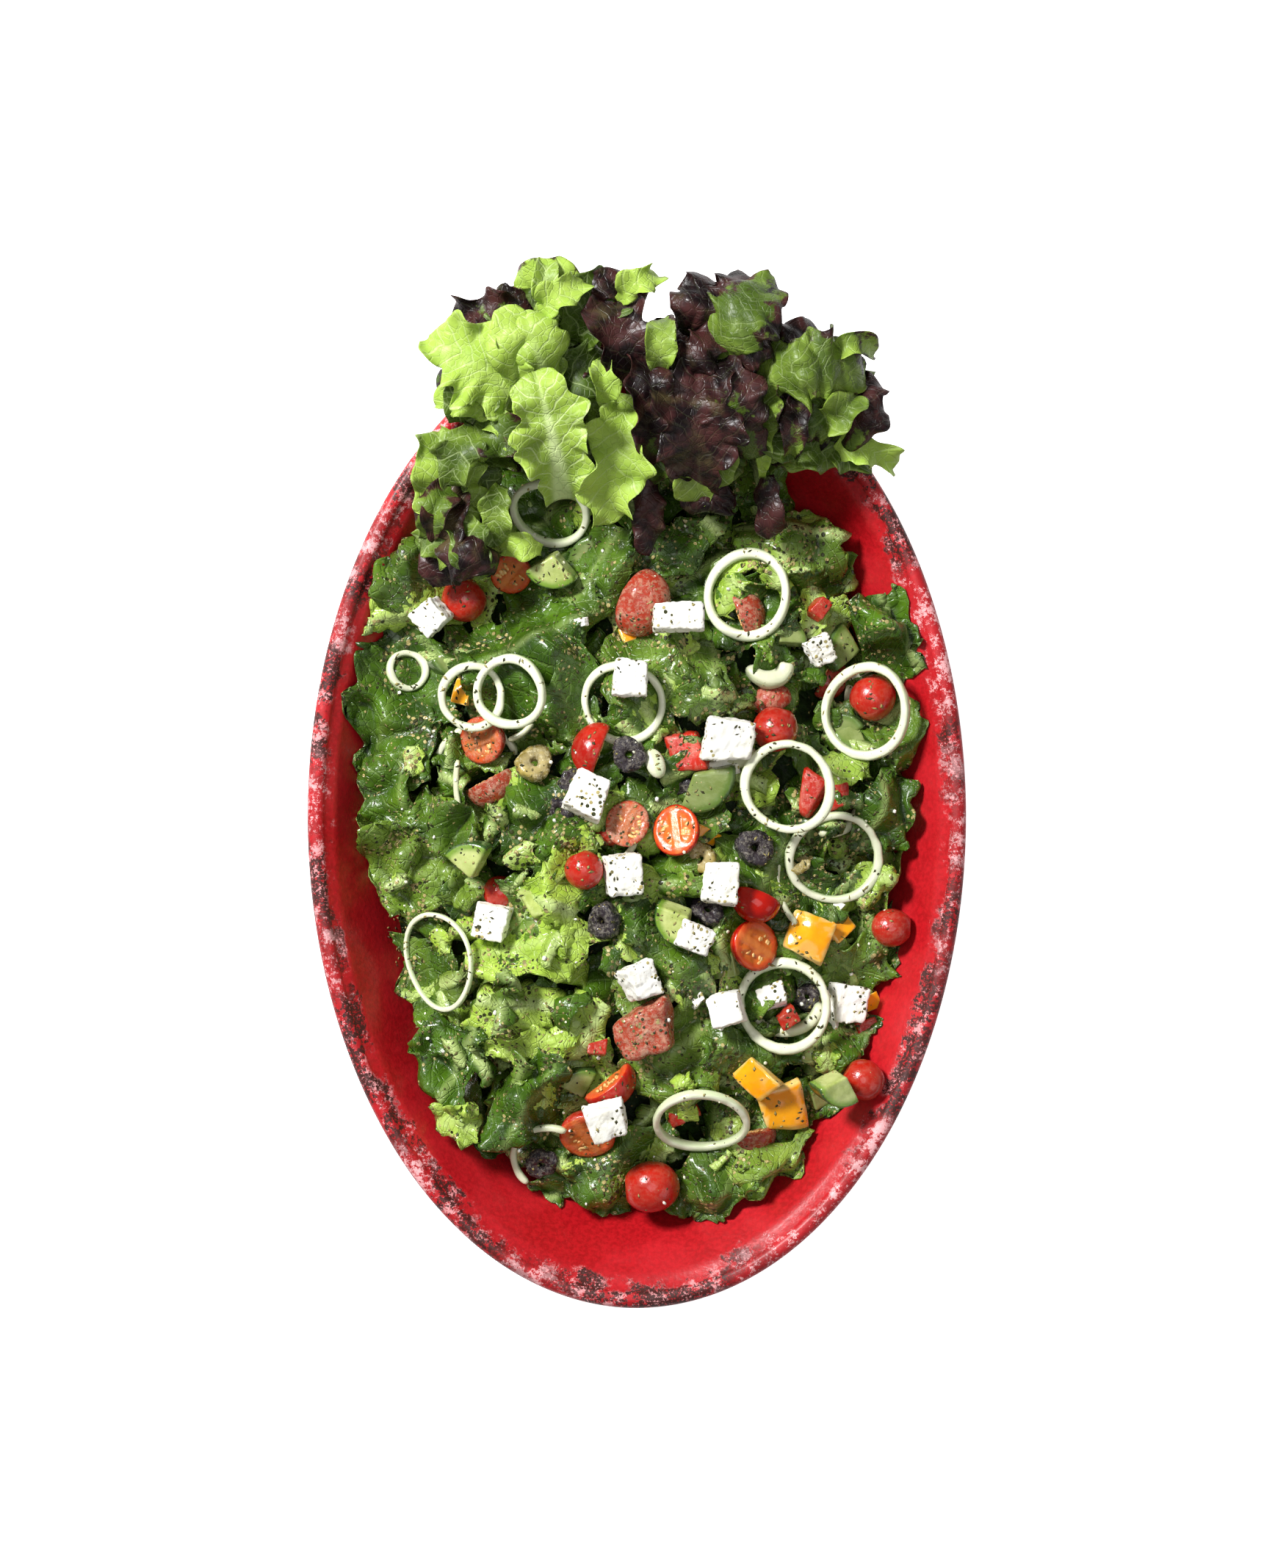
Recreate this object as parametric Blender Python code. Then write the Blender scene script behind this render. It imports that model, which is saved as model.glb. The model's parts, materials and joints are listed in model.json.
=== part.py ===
"""Greek salad heaped in an oval bowl, with a leaf garnish standing at one end.

Frame: origin at the middle of the bowl's flat foot, +Z up, +X across the bowl, +Y along it towards the garnish.
The bowl is a turned wall on an oval plan. The heap is one solid up to its uneven surface. Every topping as large
as a berry is its own solid: it is set on the heap, lifted until it is clear of what lies under it, and the heap's
surface dips below it. The garnish is four solids that follow what they lie on.
"""

import math
import random

import bmesh
import bpy
import numpy as np
from mathutils import Matrix, Vector
from mathutils.bvhtree import BVHTree

MM = 0.001

# Bowl, in metres
BOWL_LENGTH = 0.430
BOWL_WIDTH = 0.288
BOWL_HEIGHT = 0.098
FOOT_LENGTH = 0.215
FOOT_WIDTH = 0.134
WALL = 0.0045
FLOOR = 0.0050
RIM_THICKNESS = 0.0080
WALL_CURVE = 1.40  # height grows as this power of the way out from the foot
RIM_FLARE = 0.08  # share of the wall's spread that comes close under the rim
BOWL_SIDES = 52
WALL_HEIGHTS = (0.04, 0.12, 0.26, 0.44, 0.62, 0.80)  # shares of the bowl's height, outside and inside

# Heap
EDGE_HEIGHT = 0.069  # where the salad meets the wall
CROWN_HEIGHT = 0.108  # middle of the heap
LUMP = 0.0035
HEAP_GRID = (28, 40)
BOWL_GAP = 0.0009
PIECE_GAP = 0.0007
SWELL = 0.0004

# Height map that keeps solids apart
CELL = 0.002
MAP_HALF = (0.160, 0.260)
LIFT_STEP = 0.0005

COLOURS = {
    "bowl_red": ((0.62, 0.02, 0.03), 0.45),
    "romaine": ((0.10, 0.22, 0.03), 0.40),
    "green_leaf": ((0.42, 0.62, 0.14), 0.45),
    "red_leaf": ((0.07, 0.03, 0.03), 0.40),
    "onion": ((0.86, 0.88, 0.70), 0.30),
    "feta": ((0.92, 0.91, 0.84), 0.75),
    "tomato": ((0.62, 0.03, 0.01), 0.20),
    "yellow_pepper": ((0.86, 0.40, 0.01), 0.25),
    "black_olive": ((0.03, 0.025, 0.03), 0.35),
    "green_olive": ((0.35, 0.28, 0.08), 0.40),
    "cucumber": ((0.45, 0.55, 0.14), 0.35),
}

# Toppings. Places and sizes are in millimetres, angles in degrees. "lean" is the direction that the top tips to.
ONION_RINGS = (
    # x, y, radius, band, tilt, lean
    (-38, 132, 18.0, 3.6, 42, 250),
    (48, 97, 20.0, 4.4, 14, 170),
    (100, 46, 21.5, 4.0, 30, 185),
    (-101, 64, 9.5, 3.0, 22, 20),
    (-72, 52, 15.0, 3.6, 8, 270),
    (-55, 54, 16.5, 3.8, 20, 200),
    (-6, 49, 18.5, 3.6, 6, 250),
    (65, 13, 20.5, 4.0, 8, 200),
    (86, -18, 21.5, 3.6, 20, 300),
    (64, -83, 21.0, 4.4, 6, 120),
    (28, -133, 21.0, 3.6, 48, 268),
    (-87, -64, 22.0, 2.8, 46, 190),
)
FETA_CUBES = (
    # x, y, length, width, height, turn, tilt, lean
    (-90, 87, 14, 13, 13, 40, 16, 210),
    (18, 86, 22, 12, 11, 3, 8, 90),
    (-3, 60, 15, 16, 13, -4, 4, 120),
    (39, 34, 21, 18, 15, -5, 10, 300),
    (-22, 9, 17, 18, 14, -20, 12, 60),
    (-6, -25, 15, 18, 15, 6, 12, 350),
    (36, -29, 15, 18, 14, -3, 8, 20),
    (-63, -46, 15, 14, 12, -12, 10, 240),
    (25, -52, 13, 12, 11, -20, 14, 330),
    (1, -71, 14, 16, 13, 24, 18, 20),
    (80, 73, 11, 12, 10, 30, 20, 330),
    (39, -84, 14, 14, 12, 12, 10, 180),
    (93, -82, 15, 16, 13, -8, 14, 330),
    (-14, -132, 17, 15, 12, 16, 22, 280),
)
CHERRY_TOMATOES = (
    # x, y, radius, length share
    (-76, 95, 10.0, 1.00),
    (60, 38, 10.0, 1.02),
    (-23, -23, 8.5, 1.00),
    (99, -115, 9.0, 1.05),
    (7, -163, 11.5, 1.10),
    (104, 52, 10.0, 1.05),
)
TOMATO_HALVES = (
    # x, y, radius, tilt, lean
    (-55, 106, 9.0, 30, 250),
    (17, -6, 10.5, 24, 150),
    (52, -56, 11.0, 34, 0),
    (-68, 33, 10.5, 36, 200),
    (-4, -3, 9.5, 12, 120),
    (-22, -141, 12.0, 40, 270),
)
TOMATO_WEDGES = (
    # x, y, radius, spread, turn, tilt, lean
    (2, 93, 13.5, 70, 66, 20, 200),
    (-18, 29, 10.5, 90, 250, 10, 90),
    (52, -37, 9.5, 100, 340, 10, 90),
    (-12, -117, 11.0, 90, 40, 24, 300),
    (3, -91, 12.5, 150, 20, 12, 270),
)
PEPPER_PIECES = (
    # x, y, length, width, turn, tilt, lean
    (76, -53, 20, 18, -24, 16, 60),
    (64, -127, 20, 21, 12, 26, 300),
    (53, -115, 18, 13, -48, 18, 200),
)
BLACK_OLIVES = (
    # x, y, radius, height, tilt, lean
    (51, -14, 8.0, 9.0, 12, 30),
    (-3, 27, 7.5, 5.0, 10, 300),
    (-14, -45, 7.5, 8.0, 30, 200),
)
GREEN_OLIVES = ((-45, 23, 8.0, 7.0, 24, 60),)
CUCUMBERS = (
    # x, y, radius, thickness, start, sweep, tilt, lean
    (-37, 104, 15, 12, 210, 100, 18, 240),
    (33, 10, 18, 7, 250, 120, 14, 250),
    (14, -47, 15, 12, 160, 100, 20, 240),
    (85, -121, 14, 12, 200, 100, 26, 330),
)
GARNISH = (
    # name, colour, x, y, half width, half length, turn, top height
    ("garnish_green_leaves", "green_leaf", -47, 190, 43, 56, 6, 152),
    ("garnish_red_leaves", "red_leaf", 27, 176, 34, 60, 0, 160),
    ("garnish_frilled_leaves", "green_leaf", 85, 165, 27, 46, -6, 144),
    ("garnish_side_leaf", "red_leaf", -79, 117, 18, 34, -12, 118),
)


def ellipse_angle(x, y, half_width, half_length):
    return math.atan2(y / half_length, x / half_width)


def wall_inset(height):
    """How far the outer wall stands in from the rim, across the bowl, at this height."""
    h = height / BOWL_HEIGHT
    spread = (1 - RIM_FLARE) * h ** (1 / WALL_CURVE) + RIM_FLARE * h**6
    return (1 - spread) * (BOWL_WIDTH - FOOT_WIDTH) / 2


def outer_half_axes(height):
    inset = wall_inset(height)
    lengthways = (BOWL_LENGTH - FOOT_LENGTH) / (BOWL_WIDTH - FOOT_WIDTH)
    return BOWL_WIDTH / 2 - inset, BOWL_LENGTH / 2 - inset * lengthways


def inner_half_axes(height):
    """The inner wall is the outer one raised by the floor's thickness and moved in by the wall's, thicker to the rim."""
    h = (height - FLOOR) / (BOWL_HEIGHT - FLOOR)
    across, along = outer_half_axes(max(h, 0.0) * BOWL_HEIGHT)
    thickness = WALL + (RIM_THICKNESS - WALL) * h**5
    return across - thickness, along - thickness


def wall_at(height):
    """Half axes of the inner wall as its flat facets make it, between the heights of its loops."""
    heights = [FLOOR + share * (BOWL_HEIGHT - FLOOR) for share in WALL_HEIGHTS]
    loops = np.array([inner_half_axes(level) for level in heights])
    return np.interp(height, heights, loops[:, 0]), np.interp(height, heights, loops[:, 1])


def oval(half_axes, height, sides):
    across, along = half_axes
    turns = [2 * math.pi * k / sides for k in range(sides)]
    return [(across * math.cos(a), along * math.sin(a), height) for a in turns]


def lofted(bm, loops):
    """Skins the loops in turn and caps the first and the last."""
    made = [[bm.verts.new(point) for point in loop] for loop in loops]
    for lower, upper in zip(made, made[1:]):
        count = len(lower)
        for k in range(count):
            following = (k + 1) % count
            bm.faces.new((lower[k], lower[following], upper[following], upper[k]))
    bm.faces.new(list(reversed(made[0])))
    bm.faces.new(made[-1])


def bowl_solid():
    """Outer wall from the foot up, a round rim, and the inner wall back down to the floor."""
    loops = [oval((FOOT_WIDTH / 2 - inset, FOOT_LENGTH / 2 - inset), 0.0, BOWL_SIDES) for inset in (2 * MM, 0.0)]
    for share in WALL_HEIGHTS[1:]:
        height = share * BOWL_HEIGHT
        loops.append(oval(outer_half_axes(height), height, BOWL_SIDES))
    radius = RIM_THICKNESS / 2
    rim_base = BOWL_HEIGHT - radius
    for step in range(5):
        angle = math.pi * step / 4
        inset = radius * (1 - math.cos(angle))
        half_axes = (BOWL_WIDTH / 2 - inset, BOWL_LENGTH / 2 - inset)
        loops.append(oval(half_axes, rim_base + radius * math.sin(angle), BOWL_SIDES))
    for share in reversed(WALL_HEIGHTS):
        height = FLOOR + share * (BOWL_HEIGHT - FLOOR)
        loops.append(oval(inner_half_axes(height), height, BOWL_SIDES))
    loops.append(oval((FOOT_WIDTH / 2 - 3 * MM, FOOT_LENGTH / 2 - 3 * MM), FLOOR, BOWL_SIDES))
    bm = bmesh.new()
    lofted(bm, loops)
    return bm


def edge_height(angle):
    return EDGE_HEIGHT + 3.5 * MM * math.sin(3 * angle + 1.0) + 2 * MM * math.sin(7 * angle)


def heap_height(x, y):
    """Natural height of the heap: a dome from the wall to the crown, with lumps of leaf on it."""
    across, along = inner_half_axes(EDGE_HEIGHT)
    reach = min(1.0, math.hypot(x / across, y / along))
    edge = edge_height(math.atan2(y / along, x / across))
    dome = edge + (CROWN_HEIGHT - edge) * (1 - reach**2.2)
    lumps = math.sin(x / 0.011 + 1.3) * math.sin(y / 0.013 + 0.4) + 0.6 * math.sin(x / 0.0073 + y / 0.009)
    return dome + LUMP * lumps * (1 - reach**3)


def disc_grid(columns, rows):
    """A square grid spread evenly over a unit disc, and its border as indexes in order."""
    points, index = [], {}
    for i in range(columns + 1):
        for j in range(rows + 1):
            u, v = 2 * i / columns - 1, 2 * j / rows - 1
            index[i, j] = len(points)
            points.append((u * math.sqrt(1 - v * v / 2), v * math.sqrt(1 - u * u / 2)))
    quads = [
        (index[i, j], index[i + 1, j], index[i + 1, j + 1], index[i, j + 1])
        for i in range(columns)
        for j in range(rows)
    ]
    border = [index[i, 0] for i in range(columns)]
    border += [index[columns, j] for j in range(rows)]
    border += [index[i, rows] for i in range(columns, 0, -1)]
    border += [index[0, j] for j in range(rows, 0, -1)]
    return points, quads, border


class HeightMap:
    """The lowest and highest surface over each cell of the plan, from points spread over solids."""

    def __init__(self):
        self.shape = tuple(int(2 * half / CELL) for half in MAP_HALF)
        self.low = np.full(self.shape, np.inf)
        self.high = np.full(self.shape, -np.inf)

    def cells(self, points):
        columns = ((points[:, 0] + MAP_HALF[0]) / CELL).astype(int)
        rows = ((points[:, 1] + MAP_HALF[1]) / CELL).astype(int)
        return np.clip(columns, 0, self.shape[0] - 1), np.clip(rows, 0, self.shape[1] - 1)

    def add(self, bm):
        points = surface_points(bm)
        where = self.cells(points)
        np.minimum.at(self.low, where, points[:, 2])
        np.maximum.at(self.high, where, points[:, 2])

    def around(self, values, choose, x, y, radius):
        """The lowest or highest value within a radius of a place."""
        reach = int(radius / CELL + 0.5)
        column = int((x + MAP_HALF[0]) / CELL)
        row = int((y + MAP_HALF[1]) / CELL)
        patch = values[max(0, column - reach) : column + reach + 1, max(0, row - reach) : row + reach + 1]
        return choose(patch)


def surface_points(bm):
    """Points over every face, closer together than a cell of the height map."""
    steps = 12
    shares = [(i / steps, j / steps) for i in range(steps + 1) for j in range(steps + 1 - i)]
    weights = np.array([(a, b, 1 - a - b) for a, b in shares])
    corners = [[tuple(loop.vert.co) for loop in triangle] for triangle in bm.calc_loop_triangles()]
    return np.einsum("sk,tkc->tsc", weights, np.array(corners)).reshape(-1, 3)


def heap_solid(pieces):
    """Top surface on a disc grid, kept under every topping, and loops down the inner wall to the floor."""
    points, quads, border = disc_grid(*HEAP_GRID)
    bm = bmesh.new()
    top = []
    across, along = inner_half_axes(EDGE_HEIGHT)
    reach_of_cell = 1.2 * max(2 * across / HEAP_GRID[0], 2 * along / HEAP_GRID[1])
    for p, q in points:
        edge = edge_height(math.atan2(q, p))
        half_axes = wall_at(edge)
        x, y = p * (half_axes[0] - BOWL_GAP), q * (half_axes[1] - BOWL_GAP)
        height = heap_height(x, y) if math.hypot(p, q) < 0.999 else edge
        height = min(height, pieces.around(pieces.low, np.min, x, y, reach_of_cell) - PIECE_GAP)
        if height < edge:
            half_axes = wall_at(height)
            x, y = p * (half_axes[0] - BOWL_GAP), q * (half_axes[1] - BOWL_GAP)
        top.append(bm.verts.new((x, y, height)))
    for quad in quads:
        bm.faces.new([top[k] for k in quad])
    above = [top[k] for k in border]
    angles = [math.atan2(points[k][1], points[k][0]) for k in border]
    for share in (0.50, 0.20, 0.0):
        height = FLOOR + share * (BOWL_HEIGHT - FLOOR)
        half_axes = wall_at(height) if share else (FOOT_WIDTH / 2 - 8 * MM, FOOT_LENGTH / 2 - 8 * MM)
        below = []
        for angle in angles:
            inset = BOWL_GAP + 0.6 * MM
            place = ((half_axes[0] - inset) * math.cos(angle), (half_axes[1] - inset) * math.sin(angle))
            below.append(bm.verts.new((*place, height + BOWL_GAP)))
        for k in range(len(border)):
            following = (k + 1) % len(border)
            bm.faces.new((above[following], above[k], below[k], below[following]))
        above = below
    bm.faces.new(list(reversed(above)))
    return bm


def garnish_solid(x, y, half_width, half_length, turn, top, solids):
    """A lumpy mound of leaves whose underside follows what it lies on."""
    points, quads, border = disc_grid(9, 11)
    bm = bmesh.new()
    upper, lower = [], []
    facing = Matrix.Rotation(math.radians(turn), 2)
    cell = 1.25 * 2 * max(half_width / 9, half_length / 11) * MM
    for p, q in points:
        reach = min(1.0, math.hypot(p, q))
        angle = math.atan2(q, p)
        frill = 1 - 0.07 * (1 + math.sin(5 * angle + x)) - 0.03 * (1 + math.sin(11 * angle + y))
        px, py = (Vector((x, y)) + facing @ Vector((p * half_width, q * half_length)) * frill) * MM
        base = solids.around(solids.high, np.max, px, py, cell)
        over_rim = math.hypot(px / (BOWL_WIDTH / 2), py / (BOWL_LENGTH / 2)) > 0.90
        base = max(base, BOWL_HEIGHT - 2 * MM if over_rim else EDGE_HEIGHT) + PIECE_GAP
        lumps = 4 * MM * math.sin(px / 0.008) * math.sin(py / 0.01)
        crown = max(base + 8 * MM, top * MM * (1 - 0.22 * reach**2) + lumps)
        lower.append(bm.verts.new((px, py, base)))
        upper.append(bm.verts.new((px, py, crown)))
    for quad in quads:
        bm.faces.new([upper[k] for k in quad])
        bm.faces.new([lower[k] for k in reversed(quad)])
    for k, start in enumerate(border):
        end = border[(k + 1) % len(border)]
        bm.faces.new((lower[start], lower[end], upper[end], upper[start]))
    return bm


def onion_ring(radius, band):
    """A slice of onion layer: a rounded band about twice as high as it is wide is cut down to its own width."""
    bm = bmesh.new()
    around, section = 15, 4
    verts = []
    for i in range(around):
        a = 2 * math.pi * i / around
        loop = []
        for j in range(section):
            b = 2 * math.pi * j / section
            out = radius - band / 2 + band / 2 * math.cos(b)
            loop.append(bm.verts.new((out * math.cos(a), out * math.sin(a), 0.62 * band * math.sin(b))))
        verts.append(loop)
    for i in range(around):
        for j in range(section):
            a, b = verts[i], verts[(i + 1) % around]
            bm.faces.new((a[j], b[j], b[(j + 1) % section], a[(j + 1) % section]))
    return bm


def cut_block(length, width, height, bend=0.0):
    """A knife-cut block with its edges rubbed, slightly out of square. bend crowns it along its length."""
    uneven = random.Random(int(length * 7919 + width * 104729 + height * 31))
    bm = bmesh.new()
    bmesh.ops.create_cube(bm, size=1.0)
    for vert in bm.verts:
        for axis, size in enumerate((length, width, height)):
            vert.co[axis] = vert.co[axis] * size * uneven.uniform(0.92, 1.0)
        vert.co.z -= bend * vert.co.x**2
    bmesh.ops.bevel(bm, geom=list(bm.edges), offset=0.09 * min(length, width, height), segments=1, affect="EDGES")
    return bm


def ball(radius, length_share):
    bm = bmesh.new()
    bmesh.ops.create_uvsphere(bm, u_segments=11, v_segments=6, radius=radius)
    bmesh.ops.scale(bm, verts=bm.verts, vec=(length_share, 1.0, 0.96))
    return bm


def cut_away(bm, normal, offset=0.0):
    """Keeps what lies behind a plane and closes the cut."""
    cut = bmesh.ops.bisect_plane(
        bm,
        geom=bm.verts[:] + bm.edges[:] + bm.faces[:],
        plane_co=[offset * part for part in normal],
        plane_no=normal,
        clear_outer=True,
    )
    edges = [item for item in cut["geom_cut"] if isinstance(item, bmesh.types.BMEdge)]
    bmesh.ops.contextual_create(bm, geom=edges)


def tomato_half(radius):
    """A cherry tomato cut across, its cut face up."""
    bm = ball(radius, 1.08)
    cut_away(bm, (0.0, 0.0, 1.0), 0.03 * radius)
    return bm


def tomato_wedge(radius, spread):
    """A wedge between two cuts through the middle, lying on one of them, with its skin to the side and top."""
    bm = ball(radius, 1.15)
    cut_away(bm, (0.0, -math.sin(math.radians(2)), -math.cos(math.radians(2))), 0.0)
    angle = math.radians(spread)
    cut_away(bm, (0.0, math.sin(angle), math.cos(angle) if spread > 90 else -math.cos(angle)), 0.25 * radius)
    return bm


def olive_slice(radius, height):
    """A thick slice of a pitted olive: a barrel with a hole through it."""
    bm = bmesh.new()
    hole = 0.38 * radius
    section = ((hole, -0.5), (0.86 * radius, -0.5), (radius, 0.0), (0.86 * radius, 0.5), (hole, 0.5))
    around = 12
    loops = []
    for i in range(around):
        a = 2 * math.pi * i / around
        loops.append([bm.verts.new((r * math.cos(a), r * math.sin(a), share * height)) for r, share in section])
    for i in range(around):
        for j in range(len(section)):
            a, b = loops[i], loops[(i + 1) % around]
            bm.faces.new((a[j], b[j], b[(j + 1) % len(section)], a[(j + 1) % len(section)]))
    return bm


def cucumber_chunk(radius, thickness, start, sweep):
    """A sector of a thick cucumber slice, its point at the core and its skin round the outside."""
    steps = 6
    outline = [(0.0, 0.0)]
    for k in range(steps + 1):
        a = math.radians(start + sweep * k / steps)
        outline.append((radius * math.cos(a), radius * math.sin(a)))
    middle = np.mean(outline, axis=0)
    bm = bmesh.new()
    loops = [
        [(x - middle[0], y - middle[1], side * thickness / 2) for x, y in outline] for side in (-1, 1)
    ]
    lofted(bm, loops)
    return bm


def turned(tilt, lean, turn=0.0):
    """Turns about the upright axis, then tips the top towards the lean direction."""
    facing = Matrix.Rotation(math.radians(lean), 4, "Z")
    tipping = Matrix.Rotation(math.radians(tilt), 4, "Y")
    return facing @ tipping @ facing.inverted() @ Matrix.Rotation(math.radians(turn), 4, "Z")


def material(name):
    made = bpy.data.materials.get(name)
    if made is None:
        colour, roughness = COLOURS[name]
        made = bpy.data.materials.new(name)
        made.use_nodes = True
        shader = made.node_tree.nodes["Principled BSDF"]
        shader.inputs["Base Color"].default_value = (*colour, 1.0)
        shader.inputs["Roughness"].default_value = roughness
        shader.inputs["Metallic"].default_value = 0.0
    return made


def add_object(name, bm, colour, smooth=True):
    bmesh.ops.recalc_face_normals(bm, faces=bm.faces)
    mesh = bpy.data.meshes.new(name)
    bm.to_mesh(mesh)
    if smooth:
        mesh.shade_smooth()
        mesh.set_sharp_from_angle(angle=math.radians(40))
    mesh.materials.append(material(colour))
    obj = bpy.data.objects.new(name, mesh)
    bpy.context.scene.collection.objects.link(obj)
    return obj


class Table:
    """What is already in place, so that each further piece can be lifted clear of it."""

    def __init__(self):
        self.trees = []
        self.map = HeightMap()

    def keep(self, bm):
        self.trees.append(BVHTree.FromBMesh(bm))
        self.map.add(bm)

    def blocked(self, bm):
        """Whether the piece, swollen by the gap to be kept, meets anything."""
        swollen = bm.copy()
        swollen.normal_update()
        for vert in swollen.verts:
            vert.co += vert.normal * SWELL
        tree = BVHTree.FromBMesh(swollen)
        swollen.free()
        return any(tree.overlap(other) for other in self.trees)

    def set_down(self, name, bm, colour, x, y, sunk, pose):
        """Sets a piece, modelled in millimetres round its middle, on the heap and lifts it until it is clear."""
        bmesh.ops.triangulate(bm, faces=bm.faces)
        bmesh.ops.recalc_face_normals(bm, faces=bm.faces)
        bmesh.ops.transform(bm, matrix=Matrix.Scale(MM, 4) @ pose, verts=bm.verts)
        lowest = min(vert.co.z for vert in bm.verts)
        highest = max(vert.co.z for vert in bm.verts)
        rise = heap_height(x * MM, y * MM) - lowest - sunk * (highest - lowest)
        bmesh.ops.translate(bm, vec=(x * MM, y * MM, rise), verts=bm.verts)
        while self.blocked(bm):
            bmesh.ops.translate(bm, vec=(0, 0, LIFT_STEP), verts=bm.verts)
        bmesh.ops.translate(bm, vec=(0, 0, LIFT_STEP), verts=bm.verts)
        self.keep(bm)
        add_object(name, bm, colour)


def toppings(table):
    """Sets every topping down, the lower ones first."""
    for k, (x, y, radius, share) in enumerate(CHERRY_TOMATOES, 1):
        table.set_down(f"cherry_tomato_{k}", ball(radius, share), "tomato", x, y, 0.40, turned(0, 0, 37 * k))
    for k, (x, y, radius, tilt, lean) in enumerate(TOMATO_HALVES, 1):
        table.set_down(f"tomato_half_{k}", tomato_half(radius), "tomato", x, y, 0.55, turned(tilt, lean, 50 * k))
    for k, (x, y, radius, spread, turn, tilt, lean) in enumerate(TOMATO_WEDGES, 1):
        pose = turned(tilt, lean, turn)
        table.set_down(f"tomato_wedge_{k}", tomato_wedge(radius, spread), "tomato", x, y, 0.25, pose)
    for k, (x, y, radius, thickness, start, sweep, tilt, lean) in enumerate(CUCUMBERS, 1):
        chunk = cucumber_chunk(radius, thickness, start, sweep)
        table.set_down(f"cucumber_{k}", chunk, "cucumber", x, y, 0.45, turned(tilt, lean))
    olives = [("black_olive", *olive) for olive in BLACK_OLIVES] + [("green_olive", *olive) for olive in GREEN_OLIVES]
    for k, (kind, x, y, radius, height, tilt, lean) in enumerate(olives, 1):
        table.set_down(f"olive_{k}", olive_slice(radius, height), kind, x, y, 0.45, turned(tilt, lean))
    for k, (x, y, length, width, turn, tilt, lean) in enumerate(PEPPER_PIECES, 1):
        block = cut_block(length, width, 5.0, bend=0.012)
        table.set_down(f"pepper_{k}", block, "yellow_pepper", x, y, 0.10, turned(tilt, lean, turn))
    cubes = list(enumerate(FETA_CUBES, 1))
    on_a_ring = [3, 12]
    for k, (x, y, length, width, height, turn, tilt, lean) in cubes:
        if k not in on_a_ring:
            block = cut_block(length, width, height)
            table.set_down(f"feta_{k:02d}", block, "feta", x, y, 0.20, turned(tilt, lean, turn))
    for k, (x, y, radius, band, tilt, lean) in enumerate(ONION_RINGS, 1):
        table.set_down(f"onion_ring_{k:02d}", onion_ring(radius, band), "onion", x, y, 0.20, turned(tilt, lean))
    for k, (x, y, length, width, height, turn, tilt, lean) in cubes:
        if k in on_a_ring:
            block = cut_block(length, width, height)
            table.set_down(f"feta_{k:02d}", block, "feta", x, y, 0.20, turned(tilt, lean, turn))


def main():
    for obj in list(bpy.data.objects):
        bpy.data.objects.remove(obj)
    table = Table()
    bowl = bowl_solid()
    bmesh.ops.recalc_face_normals(bowl, faces=bowl.faces)
    add_object("bowl", bowl, "bowl_red")
    table.trees.append(BVHTree.FromBMesh(bowl))
    toppings(table)
    heap = heap_solid(table.map)
    add_object("salad_heap", heap, "romaine")
    table.map.add(bowl)
    table.map.add(heap)
    for name, colour, x, y, half_width, half_length, turn, top in GARNISH:
        mound = garnish_solid(x, y, half_width, half_length, turn, top, table.map)
        add_object(name, mound, colour)
        table.map.add(mound)


main()
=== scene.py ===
import json
import math

import bpy
import numpy as np
from mathutils import Matrix, Vector
from mathutils.bvhtree import BVHTree

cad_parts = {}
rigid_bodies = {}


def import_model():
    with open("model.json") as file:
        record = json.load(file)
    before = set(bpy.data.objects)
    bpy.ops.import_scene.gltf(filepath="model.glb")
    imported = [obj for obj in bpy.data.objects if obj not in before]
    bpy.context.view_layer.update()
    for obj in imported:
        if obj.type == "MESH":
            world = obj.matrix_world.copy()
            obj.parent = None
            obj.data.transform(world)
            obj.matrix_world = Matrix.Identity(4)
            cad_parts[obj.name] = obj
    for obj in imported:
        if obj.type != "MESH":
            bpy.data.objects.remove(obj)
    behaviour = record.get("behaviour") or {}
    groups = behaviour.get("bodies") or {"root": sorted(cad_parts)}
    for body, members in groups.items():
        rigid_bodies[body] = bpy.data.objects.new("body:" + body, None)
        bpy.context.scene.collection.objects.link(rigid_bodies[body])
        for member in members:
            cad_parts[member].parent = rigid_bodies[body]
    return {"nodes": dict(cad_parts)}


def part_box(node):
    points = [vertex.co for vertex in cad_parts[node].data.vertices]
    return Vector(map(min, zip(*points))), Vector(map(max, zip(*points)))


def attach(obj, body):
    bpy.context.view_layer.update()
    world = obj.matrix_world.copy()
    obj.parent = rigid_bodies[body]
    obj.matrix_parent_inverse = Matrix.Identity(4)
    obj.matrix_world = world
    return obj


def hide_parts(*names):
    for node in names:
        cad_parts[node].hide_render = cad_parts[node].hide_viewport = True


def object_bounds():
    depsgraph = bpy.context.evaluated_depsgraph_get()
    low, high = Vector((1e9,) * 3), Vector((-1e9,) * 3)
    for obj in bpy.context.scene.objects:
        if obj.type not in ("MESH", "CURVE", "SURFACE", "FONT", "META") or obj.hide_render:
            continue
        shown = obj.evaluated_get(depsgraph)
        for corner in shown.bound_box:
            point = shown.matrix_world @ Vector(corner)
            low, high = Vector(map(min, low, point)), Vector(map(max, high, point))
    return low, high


for leftover in list(bpy.data.objects):
    bpy.data.objects.remove(leftover)
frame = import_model()
cadLow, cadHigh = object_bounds()
mm = 0.001
nodeNames = sorted(frame["nodes"])
bowlLow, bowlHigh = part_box("bowl")
print("frame loaded:", len(nodeNames), "nodes")


# surfaces from numpy grids

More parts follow.
